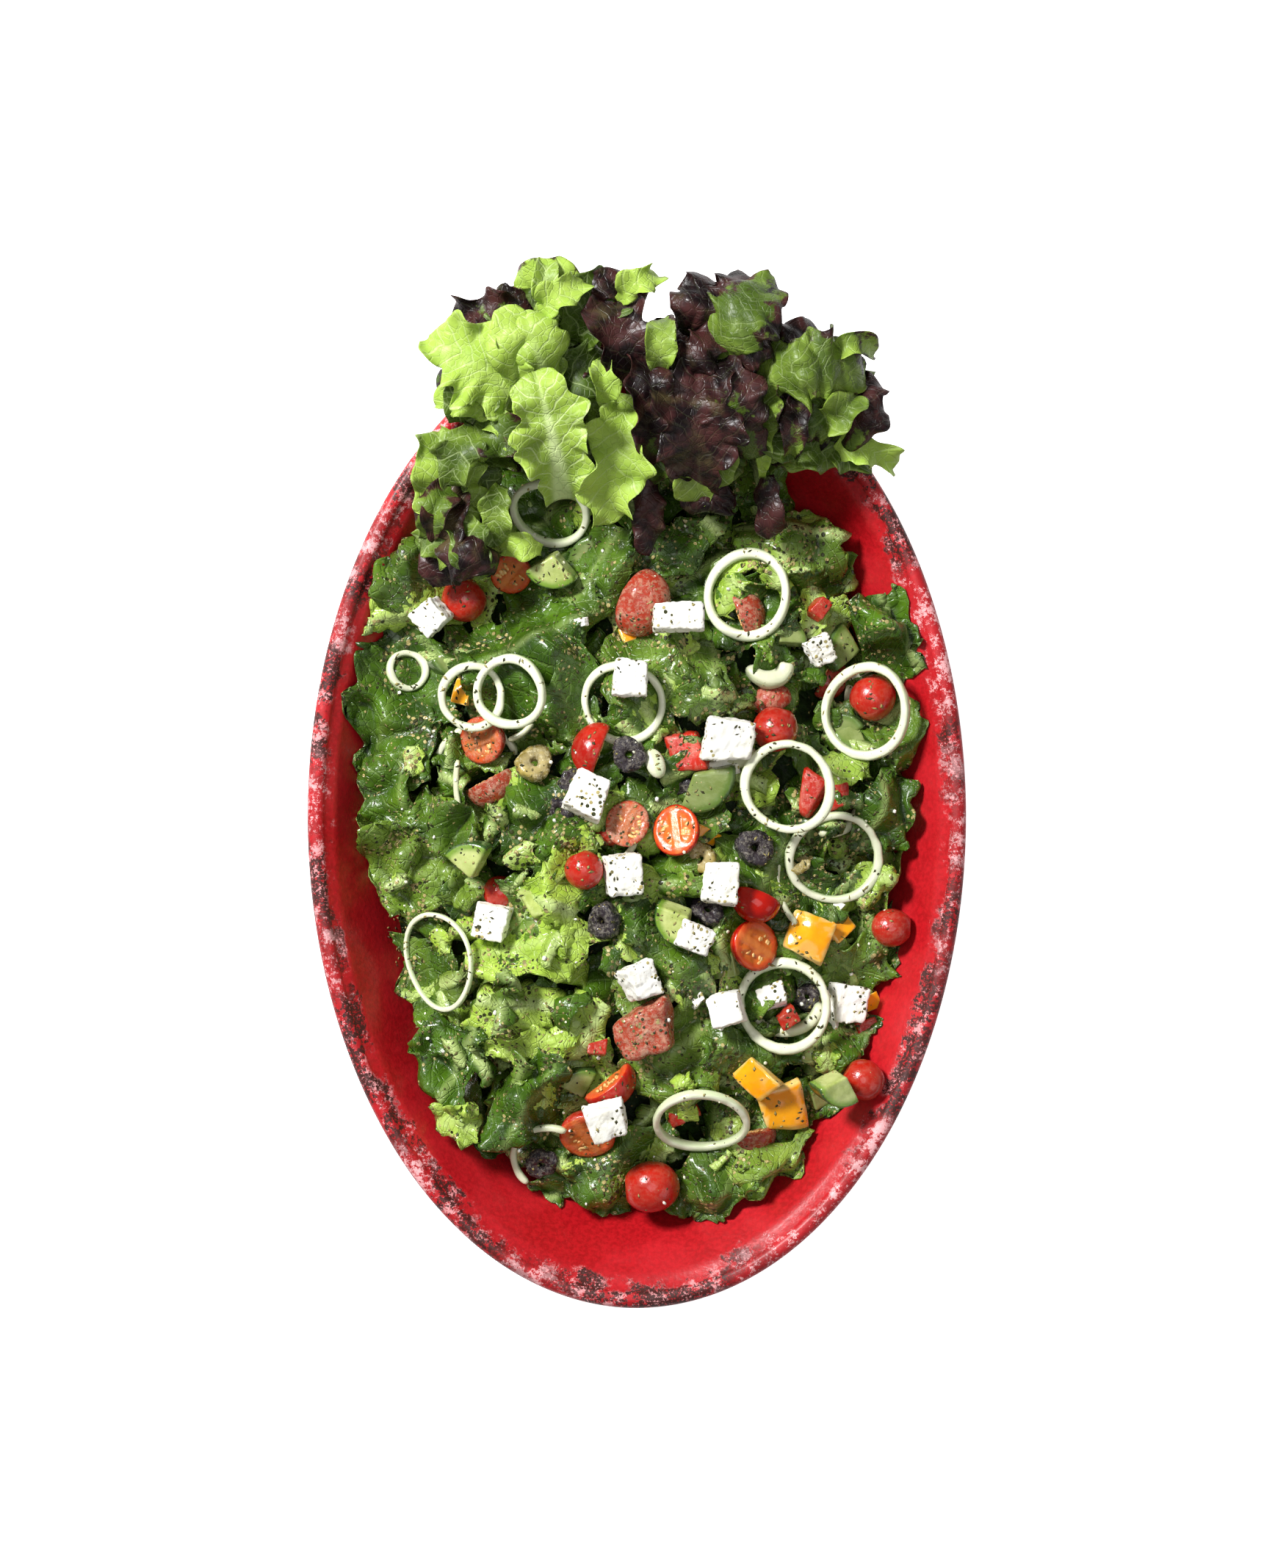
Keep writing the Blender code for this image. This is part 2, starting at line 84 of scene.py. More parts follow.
def ripples(points, size, seed, waves=7):
    # smooth random relief, about -1..1: the mean of sines of wavelengths near size in random directions
    draw = np.random.default_rng(seed)
    ways = draw.normal(size=(waves, points.shape[-1]))
    ways /= np.linalg.norm(ways, axis=1)[:, None]
    numbers = 2 * np.pi / (size * draw.uniform(0.7, 1.45, waves))
    phases = draw.uniform(0, 2 * np.pi, waves)
    return np.sin(points @ (ways * numbers[:, None]).T + phases).sum(-1) * 0.9 / math.sqrt(waves)


def unit(vectors):
    return vectors / (np.linalg.norm(vectors, axis=-1, keepdims=True) + 1e-12)


def smoothStep(value, low, high):
    t = np.clip((value - low) / (high - low), 0, 1)
    return t * t * (3 - 2 * t)


def gridQuads(rows, columns, closeRows=False, closeColumns=False):
    # corner numbers of the cells of a grid of rows x columns points, joined end to end where asked
    r = np.arange(rows if closeRows else rows - 1)
    c = np.arange(columns if closeColumns else columns - 1)
    r, c = np.meshgrid(r, c, indexing="ij")
    r, c = r.ravel(), c.ravel()
    r2, c2 = (r + 1) % rows, (c + 1) % columns
    return np.stack([r * columns + c, r * columns + c2, r2 * columns + c2, r2 * columns + c], 1)


def borderLoop(rows, columns):
    # the border of such a grid, once round
    index = np.arange(rows * columns).reshape(rows, columns)
    return np.concatenate([index[0, :-1], index[:-1, -1], index[-1, :0:-1], index[:0:-1, 0]])


def shell(surface, thickness):
    # a sheet given a wall: each point moves half the thickness along its normal to both sides,
    # less towards the border, and a strip joins the two borders
    rows, columns = surface.shape[:2]
    normal = unit(np.cross(np.gradient(surface, axis=1), np.gradient(surface, axis=0)))
    r = np.abs(np.linspace(-1, 1, rows))[:, None]
    c = np.abs(np.linspace(-1, 1, columns))[None, :]
    half = (thickness / 2 * (1 - 0.6 * np.maximum(r, c) ** 6))[..., None]
    top = (surface + normal * half).reshape(-1, 3)
    under = (surface - normal * half).reshape(-1, 3)
    quads = gridQuads(rows, columns)
    rim = borderLoop(rows, columns)
    after = np.roll(rim, -1)
    shift = rows * columns
    strip = np.stack([rim, rim + shift, after + shift, after], 1)
    return np.concatenate([top, under]), np.concatenate([quads, quads[:, ::-1] + shift, strip])


def turned(points, tilt, lean, turn):
    # turned about the upright, then the top tipped towards the direction lean, all in degrees
    facing = Matrix.Rotation(math.radians(lean), 3, "Z")
    matrix = facing @ Matrix.Rotation(math.radians(tilt), 3, "Y") @ facing.inverted()
    matrix = matrix @ Matrix.Rotation(math.radians(turn), 3, "Z")
    return points @ np.array(matrix).T


pieceNames = []


class Batch:
    # many shapes joined into one mesh, with named values at their points
    def __init__(self, name):
        self.name = name
        self.points, self.quads, self.tris, self.fields, self.count = [], [], [], {}, 0

    def add(self, points, quads=None, tris=None, **fields):
        points = np.asarray(points, float).reshape(-1, 3)
        self.points.append(points)
        for faces, kept in ((quads, self.quads), (tris, self.tris)):
            if faces is not None and len(faces):
                kept.append(np.asarray(faces) + self.count)
        for key, value in fields.items():
            value = np.asarray(value, float)
            wide = value.shape[-1] if value.ndim and value.shape[-1] in (2, 3) and value.ndim > 1 else 1
            if wide == 1:
                value = np.broadcast_to(value.reshape(-1), (len(points),)) if value.size > 1 else np.full(len(points), float(value))
            self.fields.setdefault(key, []).append(value)
        self.count += len(points)

    def build(self, material, slotName, nodes=(), smooth=True):
        points = np.concatenate(self.points)
        quads = np.concatenate(self.quads) if self.quads else np.zeros((0, 4), int)
        tris = np.concatenate(self.tris) if self.tris else np.zeros((0, 3), int)
        corners = np.concatenate([quads.ravel(), tris.ravel()]).astype(np.int32)
        starts = np.concatenate([np.arange(len(quads)) * 4, len(quads) * 4 + np.arange(len(tris)) * 3])
        mesh = bpy.data.meshes.new(self.name)
        mesh.vertices.add(len(points))
        mesh.vertices.foreach_set("co", points.astype(np.float32).ravel())
        mesh.loops.add(len(corners))
        mesh.loops.foreach_set("vertex_index", corners)
        mesh.polygons.add(len(starts))
        mesh.polygons.foreach_set("loop_start", starts.astype(np.int32))
        mesh.update(calc_edges=True)
        for key, values in self.fields.items():
            values = np.concatenate(values)
            if key == "leafMap":
                layer = mesh.uv_layers.new(name=key)
                layer.data.foreach_set("uv", values[corners].astype(np.float32).ravel())
            else:
                mesh.attributes.new(key, "FLOAT", "POINT").data.foreach_set("value", values.astype(np.float32))
        if smooth:
            mesh.shade_smooth()
        mesh.materials.append(material)
        piece = bpy.data.objects.new(self.name, mesh)
        bpy.context.scene.collection.objects.link(piece)
        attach(piece, "root")
        if nodes:
            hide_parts(*nodes)
        pieceNames.append(piece.name)
        print(f"{self.name}: {2 * len(quads) + len(tris)} triangles")
        return piece


# materials

class Nodes:
    # short ways to place and link shader nodes in one tree
    def __init__(self, tree):
        self.tree = tree

    def put(self, kind, **values):
        node = self.tree.nodes.new(kind)
        inputs = values.pop("inputs", {})
        for key, value in values.items():
            setattr(node, key, value)
        for key, value in inputs.items():
            self.feed(node.inputs[key], value)
        return node

    def feed(self, socket, value):
        if isinstance(value, bpy.types.NodeSocket):
            self.tree.links.new(value, socket)
        elif isinstance(value, (tuple, list)) and len(value) == 3 and socket.type == "RGBA":
            socket.default_value = (*value, 1.0)
        else:
            socket.default_value = value

    def math(self, operation, a, b=0.0, clamp=False):
        return self.put("ShaderNodeMath", operation=operation, use_clamp=clamp, inputs={0: a, 1: b}).outputs[0]

    def noise(self, vector, scale, detail=3.0, roughness=0.55):
        inputs = {"Vector": vector, "Scale": scale, "Detail": detail, "Roughness": roughness}
        return self.put("ShaderNodeTexNoise", inputs=inputs).outputs["Fac"]

    def ramp(self, value, low, high):
        inputs = {"Value": value, "From Min": low, "From Max": high}
        return self.put("ShaderNodeMapRange", interpolation_type="SMOOTHSTEP", inputs=inputs).outputs[0]

    def mix(self, share, a, b, blend="MIX"):
        node = self.put("ShaderNodeMix", data_type="RGBA", blend_type=blend)
        self.feed(node.inputs["Factor"], share)
        self.feed(node.inputs[6], a)
        self.feed(node.inputs[7], b)
        return node.outputs[2]

    def value(self, name):
        return self.put("ShaderNodeAttribute", attribute_name=name).outputs["Fac"]

    def place(self):
        return self.put("ShaderNodeTexCoord").outputs["Object"]

    def bump(self, height, strength, distance):
        inputs = {"Height": height, "Strength": strength, "Distance": distance}
        return self.put("ShaderNodeBump", inputs=inputs).outputs["Normal"]


def newGroup(name, inputs, outputs):
    group = bpy.data.node_groups.new(name, "ShaderNodeTree")
    for label, kind, default in inputs:
        socket = group.interface.new_socket(label, in_out="INPUT", socket_type=kind)
        if default is not None:
            socket.default_value = default
    for label, kind in outputs:
        group.interface.new_socket(label, in_out="OUTPUT", socket_type=kind)
    nodes = Nodes(group)
    return group, nodes, nodes.put("NodeGroupInput"), nodes.put("NodeGroupOutput")


def mottleGroup():
    # two colours drifting into each other over a few sizes of patch
    wanted = [("Colour A", "NodeSocketColor", None), ("Colour B", "NodeSocketColor", None),
              ("Scale", "NodeSocketFloat", 60.0), ("Contrast", "NodeSocketFloat", 0.15)]
    group, nodes, given, out = newGroup("mottle", wanted, [("Colour", "NodeSocketColor"), ("Share", "NodeSocketFloat")])
    patch = nodes.noise(nodes.place(), given.outputs["Scale"], 4.0, 0.6)
    low = nodes.math("SUBTRACT", 0.5, given.outputs["Contrast"])
    high = nodes.math("ADD", 0.5, given.outputs["Contrast"])
    share = nodes.ramp(patch, low, high)
    nodes.feed(out.inputs["Colour"], nodes.mix(share, given.outputs["Colour A"], given.outputs["Colour B"]))
    nodes.feed(out.inputs["Share"], share)
    return group


def seasoningGroup():
    # flecks of dried herb and a thin milky film of dressing over a colour
    wanted = [("Colour", "NodeSocketColor", None), ("Herbs", "NodeSocketFloat", 0.5), ("Dressing", "NodeSocketFloat", 0.3)]
    group, nodes, given, out = newGroup("seasoning", wanted, [("Colour", "NodeSocketColor"), ("Relief", "NodeSocketFloat")])
    place = nodes.place()
    grain = nodes.put("ShaderNodeTexVoronoi", inputs={"Vector": place, "Scale": 420.0, "Randomness": 1.0})
    zone = nodes.ramp(nodes.noise(place, 60.0, 3.0), 0.42, 0.62)
    size = nodes.math("MULTIPLY", nodes.math("MULTIPLY", zone, given.outputs["Herbs"]), 0.46)
    edge = nodes.math("SUBTRACT", size, grain.outputs["Distance"])
    fleck = nodes.ramp(edge, -0.02, 0.06)
    pick = nodes.put("ShaderNodeSeparateXYZ", inputs={0: grain.outputs["Color"]}).outputs["X"]
    tint = nodes.mix(nodes.ramp(pick, 0.30, 0.75), (0.035, 0.040, 0.010), (0.46, 0.38, 0.15))
    film = nodes.ramp(nodes.noise(place, 120.0, 5.0, 0.7), 0.52, 0.75)
    film = nodes.math("MULTIPLY", film, given.outputs["Dressing"])
    dressed = nodes.mix(film, given.outputs["Colour"], (0.62, 0.62, 0.46))
    nodes.feed(out.inputs["Colour"], nodes.mix(fleck, dressed, tint))
    nodes.feed(out.inputs["Relief"], nodes.math("ADD", fleck, nodes.math("MULTIPLY", film, 0.5)))
    return group


def veinGroup():
    # a rib along the middle, side veins running out from it and a fine net between, on the leaf's own map
    wanted = [("Map", "NodeSocketVector", None), ("Spacing", "NodeSocketFloat", 80.0), ("Width", "NodeSocketFloat", 0.12)]
    group, nodes, given, out = newGroup("veins", wanted, [("Side veins", "NodeSocketFloat"), ("Net", "NodeSocketFloat")])
    split = nodes.put("ShaderNodeSeparateXYZ", inputs={0: given.outputs["Map"]})
    bend = nodes.noise(given.outputs["Map"], 60.0, 2.0)
    along = nodes.math("SUBTRACT", split.outputs["X"], nodes.math("MULTIPLY", nodes.math("ABSOLUTE", split.outputs["Y"]), 0.9))
    along = nodes.math("ADD", along, nodes.math("MULTIPLY", bend, 0.012))
    wave = nodes.math("SINE", nodes.math("MULTIPLY", along, nodes.math("MULTIPLY", given.outputs["Spacing"], 6.283)))
    side = nodes.ramp(wave, nodes.math("SUBTRACT", 1.0, given.outputs["Width"]), 1.0)
    cells = nodes.put("ShaderNodeTexVoronoi", feature="DISTANCE_TO_EDGE", inputs={"Vector": given.outputs["Map"], "Scale": 330.0})
    net = nodes.ramp(cells.outputs["Distance"], 0.10, 0.0)
    nodes.feed(out.inputs["Side veins"], side)
    nodes.feed(out.inputs["Net"], net)
    return group


mottle = mottleGroup()
seasoning = seasoningGroup()
veins = veinGroup()


def useGroup(nodes, group, **inputs):
    node = nodes.put("ShaderNodeGroup", node_tree=group)
    for key, value in inputs.items():
        nodes.feed(node.inputs[key.replace("_", " ")], value)
    return node


def newMaterial(name, settings, paint):
    # paint(nodes) gives the colour, the roughness and the relief as (height, strength, distance)
    material = bpy.data.materials.new(name)
    material.use_nodes = True
    nodes = Nodes(material.node_tree)
    shader = material.node_tree.nodes["Principled BSDF"]
    for key, value in settings.items():
        nodes.feed(shader.inputs[key], value)
    colour, roughness, relief = paint(nodes)
    nodes.feed(shader.inputs["Base Color"], colour)
    nodes.feed(shader.inputs["Roughness"], roughness)
    if relief:
        nodes.feed(shader.inputs["Normal"], nodes.bump(*relief))
    return material


def seasoned(nodes, colour, herbs, dressing):
    node = useGroup(nodes, seasoning, Colour=colour, Herbs=herbs, Dressing=dressing)
    return node.outputs["Colour"], node.outputs["Relief"]


# bowl

bowl = {
    "length": 0.430, "width": 0.288, "height": 0.098, "footLength": 0.215, "footWidth": 0.134,
    "wall": 0.0045, "floor": 0.0050, "rim": 0.0080, "curve": 1.40, "flare": 0.08,
    "around": 288, "up": 34, "footRing": 0.0012,
    "red": (0.47, 0.007, 0.012), "deepRed": (0.33, 0.004, 0.007),
}


def outerAxes(height):
    # half axes of the outer wall: the way out from the foot is the height's share to the power 1/curve
    h = np.clip(height / bowl["height"], 0, 1)
    reach = (1 - bowl["flare"]) * h ** (1 / bowl["curve"]) + bowl["flare"] * h ** 6
    inset = (1 - reach) * (bowl["width"] - bowl["footWidth"]) / 2
    ratio = (bowl["length"] - bowl["footLength"]) / (bowl["width"] - bowl["footWidth"])
    return bowl["width"] / 2 - inset, bowl["length"] / 2 - inset * ratio


def innerAxes(height):
    # the outer wall raised by the floor and moved in by the wall, thicker to the rim
    h = np.clip((height - bowl["floor"]) / (bowl["height"] - bowl["floor"]), 0, 1)
    across, along = outerAxes(h * bowl["height"])
    thick = bowl["wall"] + (bowl["rim"] - bowl["wall"]) * h ** 5
    return across - thick, along - thick


def makeBowl():
    # profile: foot, outer wall, half-round rim, inner wall, floor; each point is carried round an ellipse
    up, radius = bowl["up"], bowl["rim"] / 2
    rows = []
    for share in (0.0, 0.35, 0.7, 0.9, 0.97):
        rows.append((share * bowl["footWidth"] / 2, share * bowl["footLength"] / 2, 0.0, -1.0))
    rows.append((bowl["footWidth"] / 2, bowl["footLength"] / 2, bowl["footRing"] * 0.4, -1.0))
    top = bowl["height"] - radius
    for h in np.linspace(0.03, 1, up) ** 1.3 * top:
        a, b = outerAxes(np.array(h))
        rows.append((float(a), float(b), float(h), float(h - top) - radius * 1.57))
    for turn in np.linspace(0, math.pi, 11)[1:-1]:
        inset = radius * (1 - math.cos(turn))
        a, b = bowl["width"] / 2 - inset, bowl["length"] / 2 - inset
        rows.append((a, b, top + radius * math.sin(turn), radius * (turn - math.pi / 2)))
    for h in (np.linspace(1, 0.03, up) ** 1.3 * (top - bowl["floor"])) + bowl["floor"]:
        a, b = innerAxes(np.array(h))
        rows.append((float(a), float(b), float(h), float(top - h) + radius * 1.57))
    for share in (0.97, 0.9, 0.7, 0.35, 0.0):
        rows.append((share * bowl["footWidth"] / 2, share * bowl["footLength"] / 2, bowl["floor"], 1.0))
    rows = np.array(rows)
    angle = np.linspace(0, 2 * np.pi, bowl["around"], endpoint=False)
    x = rows[1:-1, 0, None] * np.cos(angle)
    y = rows[1:-1, 1, None] * np.sin(angle)
    z = np.repeat(rows[1:-1, 2, None], len(angle), 1)
    points = np.stack([x, y, z], -1)
    wobble = ripples(points.reshape(-1, 3), 0.09, 3).reshape(z.shape) * 0.0005 * smoothStep(z, 0.01, 0.05)
    points[..., 2] -= np.abs(wobble)
    rim = np.repeat(rows[1:-1, 3, None], len(angle), 1)
    count = points.shape[0] * points.shape[1]
    quads = gridQuads(points.shape[0], len(angle), closeColumns=True)
    first = np.arange(len(angle))
    last = first + count - len(angle)
    poles = [np.stack([np.full_like(first, count), np.roll(first, -1), first], 1),
             np.stack([np.full_like(first, count + 1), last, np.roll(last, -1)], 1)]
    batch = Batch("oval_bowl")
    ends = np.array([[0, 0, 0], [0, 0, bowl["floor"]]])
    batch.add(np.concatenate([points.reshape(-1, 3), ends]), quads, np.concatenate(poles),
              rimWay=np.concatenate([rim.ravel(), [-1, 1]]))
    return batch


def paintBowl(nodes):
    # finely mottled red; along the rim a ragged band of pale crackle and dark worn patches
    place = nodes.place()
    body = useGroup(nodes, mottle, Colour_A=bowl["deepRed"], Colour_B=bowl["red"], Scale=520.0, Contrast=0.16).outputs[0]
    cloud = nodes.ramp(nodes.noise(place, 30.0, 3.0), 0.35, 0.70)
    body = nodes.mix(nodes.math("MULTIPLY", cloud, 0.35), body, (0.70, 0.030, 0.040))
    way = nodes.value("rimWay")
    drift = nodes.math("MULTIPLY", nodes.math("SUBTRACT", nodes.noise(place, 38.0, 5.0, 0.75), 0.5), 0.026)
    off = nodes.math("ABSOLUTE", nodes.math("ADD", nodes.math("ADD", way, 0.0004), drift))
    band = nodes.ramp(off, 0.0076, 0.0040)
    zone = nodes.ramp(nodes.noise(place, 17.0, 3.0), 0.36, 0.52)
    grain = nodes.noise(place, 640.0, 5.0, 0.85)
    pale = nodes.ramp(nodes.math("ADD", grain, nodes.math("MULTIPLY", nodes.noise(place, 130.0, 3.0), 0.8)), 0.925, 0.965)
    worn = nodes.ramp(nodes.math("ADD", nodes.noise(place, 100.0, 5.0, 0.7), nodes.math("MULTIPLY", nodes.noise(place, 480.0, 4.0, 0.7), 0.5)), 0.69, 0.73)
    worn = nodes.math("MULTIPLY", worn, nodes.ramp(nodes.noise(place, 800.0, 5.0, 0.75), 0.40, 0.48))
    palePart = nodes.math("MULTIPLY", nodes.math("MULTIPLY", band, pale), nodes.math("SUBTRACT", 1.0, nodes.math("MULTIPLY", zone, 0.25)))
    wornPart = nodes.math("MULTIPLY", nodes.math("MULTIPLY", nodes.ramp(off, 0.0070, 0.0052), worn), zone)
    colour = nodes.mix(palePart, body, (0.86, 0.42, 0.43))
    colour = nodes.mix(wornPart, colour, (0.050, 0.009, 0.007))
    rough = nodes.math("ADD", nodes.math("MULTIPLY", band, 0.14), 0.36)
    height = nodes.math("SUBTRACT", nodes.noise(place, 420.0, 4.0, 0.6), nodes.math("MULTIPLY", nodes.math("ADD", palePart, wornPart), 0.9))
    return colour, rough, (height, 0.30, 0.0006)


makeBowl().build(newMaterial("bowlRed", {"Specular IOR Level": 0.35, "Coat Weight": 0.10, "Coat Roughness": 0.22}, paintBowl), "bowl_red", ["bowl"])


# the room that the toppings leave

cell = 0.0015
mapLow = np.array([-0.165, -0.235])
mapShape = (220, 340)


def cellsOf(points):
    c = ((points[..., 0] - mapLow[0]) / cell).astype(int)
    r = ((points[..., 1] - mapLow[1]) / cell).astype(int)
    return np.clip(c, 0, mapShape[0] - 1), np.clip(r, 0, mapShape[1] - 1)


def spread(object):
    # points spread over every face of a node, closer than a cell
    mesh = object.data
    mesh.calc_loop_triangles()
    corners = np.empty(len(mesh.loop_triangles) * 3, np.int32)
    mesh.loop_triangles.foreach_get("vertices", corners)
    points = np.empty(len(mesh.vertices) * 3, np.float32)
    mesh.vertices.foreach_get("co", points)
    triangles = points.reshape(-1, 3)[corners].reshape(-1, 3, 3)
    steps = 9
    i, j = np.meshgrid(np.arange(steps + 1), np.arange(steps + 1))
    keep = (i + j) <= steps
    shares = np.stack([i[keep], j[keep], steps - i[keep] - j[keep]], 1) / steps
    return np.einsum("sk,tkc->tsc", shares, triangles).reshape(-1, 3)


def neighbours(values, step, slope, lower):
    # lets a value reach the cells around it, changed by the slope for each cell of way
    out = values.copy()
    for dx, dy in ((1, 0), (-1, 0), (0, 1), (0, -1), (1, 1), (1, -1), (-1, 1), (-1, -1)):
        moved = np.roll(values, (dx, dy), (0, 1)) + slope * cell * math.hypot(dx, dy) * (1 if lower else -1)
        out = np.minimum(out, moved) if lower else np.maximum(out, moved)
    return out


toppingNodes = [n for n in nodeNames if not n.startswith(("bowl", "salad", "garnish"))]
roof = np.full(mapShape, 1.0)
for name in toppingNodes:
    samples = spread(frame["nodes"][name])
    np.minimum.at(roof, cellsOf(samples), samples[:, 2])
for step in range(9):
    roof = neighbours(roof, step, 0.75, True)

column, row = np.meshgrid(np.arange(mapShape[0]), np.arange(mapShape[1]), indexing="ij")
mapX = mapLow[0] + (column + 0.5) * cell
mapY = mapLow[1] + (row + 0.5) * cell

heap = {"edge": 0.069, "crown": 0.108, "lower": 0.016}


def wallHeight(x, y):
    # height at which the inner wall passes over a place: the inner ellipse is inverted by a table of heights
    levels = np.linspace(bowl["floor"], bowl["height"] - 0.004, 60)
    across, along = innerAxes(levels)
    turnAt = np.arctan2(y / bowl["length"], x / bowl["width"])
    reach = np.hypot(x, y)
    wide = np.hypot(across[:, None] * np.cos(np.linspace(-np.pi, np.pi, 181)),
                    along[:, None] * np.sin(np.linspace(-np.pi, np.pi, 181)))
    slot = np.clip(((turnAt + np.pi) / (2 * np.pi) * 180).round().astype(int), 0, 180)
    flat = reach.ravel()
    result = np.zeros(flat.shape)
    for k in range(181):
        chosen = slot.ravel() == k
        result[chosen] = np.interp(flat[chosen], wide[:, k], levels)
    return result.reshape(reach.shape)


def heapHeight(x, y):
    # a dome from the wall to the crown, with lumps of leaf on it
    across, along = innerAxes(np.array(heap["edge"]))
    reach = np.minimum(1.25, np.hypot(x / across, y / along))
    dome = heap["edge"] + (heap["crown"] - heap["edge"]) * (1 - reach ** 2.2)
    lumps = np.sin(x / 0.011 + 1.3) * np.sin(y / 0.013 + 0.4) + 0.6 * np.sin(x / 0.0073 + y / 0.009)
    return dome + 0.0035 * lumps * np.clip(1 - reach ** 3, 0, 1)


wallMap = wallHeight(mapX, mapY)
natural = heapHeight(mapX, mapY)
ground = np.maximum(np.minimum(natural - heap["lower"], roof - 0.004), wallMap + 0.0006)
print("height maps ready")


def makeCore():
    # heap under the leaves, dark with painted shade: the ground map on a disc grid, closed by a skirt inside the bowl
    rows, columns = 90, 60
    v, u = np.meshgrid(np.linspace(-1, 1, rows), np.linspace(-1, 1, columns), indexing="ij")
    p, q = u * np.sqrt(1 - v * v / 2), v * np.sqrt(1 - u * u / 2)
    across, along = innerAxes(np.array(0.060))
    x, y = p * (across - 0.001), q * (along - 0.001)
    c, r = cellsOf(np.stack([x, y], -1))
    z = np.minimum(ground[c, r], roof[c, r] - 0.003)
    edge = np.hypot(p, q) > 0.985
    z[edge] = np.minimum(z[edge], 0.0600)
    top = np.stack([x, y, z], -1)
    under = top.copy()
    lowAcross, lowAlong = innerAxes(np.array(0.030))
    under[..., 0] = p * (lowAcross - 0.002)
    under[..., 1] = q * (lowAlong - 0.002)
    under[..., 2] = 0.030
    rim = borderLoop(rows, columns)
    after = np.roll(rim, -1)
    shift = rows * columns
    quads = gridQuads(rows, columns)
    strip = np.stack([rim, rim + shift, after + shift, after], 1)
    batch = Batch("salad_core")
    batch.add(np.concatenate([top.reshape(-1, 3), under.reshape(-1, 3)]), np.concatenate([quads, quads[:, ::-1] + shift, strip]))
    return batch


def paintCore(nodes):
    # near-black greens: painted shade of the leaves deep in the heap
    body = useGroup(nodes, mottle, Colour_A=(0.003, 0.007, 0.001), Colour_B=(0.016, 0.040, 0.004), Scale=150.0, Contrast=0.2)
    return body.outputs[0], 0.5, (nodes.noise(nodes.place(), 260.0, 4.0), 0.6, 0.002)


makeCore().build(newMaterial("saladShade", {"Specular IOR Level": 0.15}, paintCore), "romaine", ["salad_heap"])


# torn romaine

def leafSheet(length, width, seed, rounded, rib, blister, ruffle, bends):
    # a square grid rounded towards a disc, its outline torn by noise; height = rib crest + blistered
    # skin between the veins + ruffles growing to the edge + sharp creases + bends (cup, curl, fold, twist)
    draw = np.random.default_rng(seed)
    rows = int(np.clip(width / 0.0017, 10, 30))
    columns = int(np.clip(length / 0.0017, 12, 40))
    v, u = np.meshgrid(np.linspace(-1, 1, rows), np.linspace(-1, 1, columns), indexing="ij")
    p, q = u * np.sqrt(1 - rounded * v * v / 2), v * np.sqrt(1 - rounded * u * u / 2)
    edge = np.maximum(np.abs(u), np.abs(v))
    x, y = p * length / 2, q * width / 2
    flat = np.stack([x, y], -1)
    tear = smoothStep(edge, 0.55, 1.0)
    x = x + tear * (ripples(flat, 0.022, seed + 1) * 0.09 * length + ripples(flat, 0.006, seed + 2) * 0.0011)
    y = y + tear * (ripples(flat, 0.022, seed + 3) * 0.10 * width + ripples(flat, 0.006, seed + 4) * 0.0011)
    flat = np.stack([x, y], -1)
    offset = draw.uniform(-0.3, 0.3) * width
    crest = np.exp(-((y - offset) / 0.0032) ** 2)
    skin = np.abs(ripples(flat, 0.013, seed + 5)) ** 0.6 * 0.7 + ripples(flat, 0.007, seed + 6) * 0.25
    z = rib * crest * 0.0020 + blister * skin * 0.0013 * (1 - crest * rib)
    around = np.arctan2(q, p + 1e-9)
    wave = np.sin(around * draw.integers(5, 9) + draw.uniform(0, 6)) + 0.5 * np.sin(around * draw.integers(11, 17))
    z = z + ruffle * 0.0030 * edge ** 3 * wave
    crumple = np.abs(ripples(flat, 0.034, seed + 7))
    # crease marks the floors of the creases, where the colour is darkened as painted shade
    crease = np.exp(-(crumple / 0.15) ** 2) * smoothStep(length, 0.012, 0.026)
    z = z + (0.4 + 0.6 * blister) * 0.0062 * crumple * np.clip(length / 0.030, 0.1, 1.2)
    cup, curl, fold, twist = bends
    z = z - cup * y ** 2 / width * 1.4 - curl * x ** 2 / length * 1.2 + fold * np.abs(y - offset) * 0.6 + twist * x * y / width * 1.5
    return np.stack([x, y, z], -1), crest * rib, edge, crease, offset


def settle(sheet, x, y, height, drape):
    # pulls the sheet in from the wall, lifts it to a share of the ground under it, drapes it over that
    # and keeps it under the toppings and over the wall; the ground then rises to it
    global ground
    world = sheet + np.array([x, y, 0.0])
    east, north = world[..., 0], world[..., 1]
    bare = smoothStep(-east, 0.0, 0.06) * smoothStep(-north, 0.01, 0.05) * (1 - smoothStep(-north, 0.08, 0.13))
    limit = 0.90 + 0.08 * smoothStep(north, 0.02, 0.06) - 0.07 * bare + 0.03 * ripples(world[..., :2], 0.018, 5)
    reach = np.hypot(east / 0.134, north / 0.205) + 1e-6
    world[..., :2] *= np.where(reach > limit, (limit + 0.12 * (reach - limit)) / reach, 1.0)[..., None]
    c, r = cellsOf(world)
    under = ground[c, r]
    lift = np.quantile(under - world[..., 2], drape) + height
    z = np.maximum(world[..., 2] + lift, under + 0.0007)
    z = np.minimum(z, roof[c, r] - 0.0006)
    world[..., 2] = np.maximum(z, wallMap[c, r] + 0.0010)
    fine = world[:-1, :-1] * 0.25 + world[1:, :-1] * 0.25 + world[:-1, 1:] * 0.25 + world[1:, 1:] * 0.25
    for part in (world, fine):
        np.maximum.at(ground, cellsOf(part), part[..., 2])
    return world


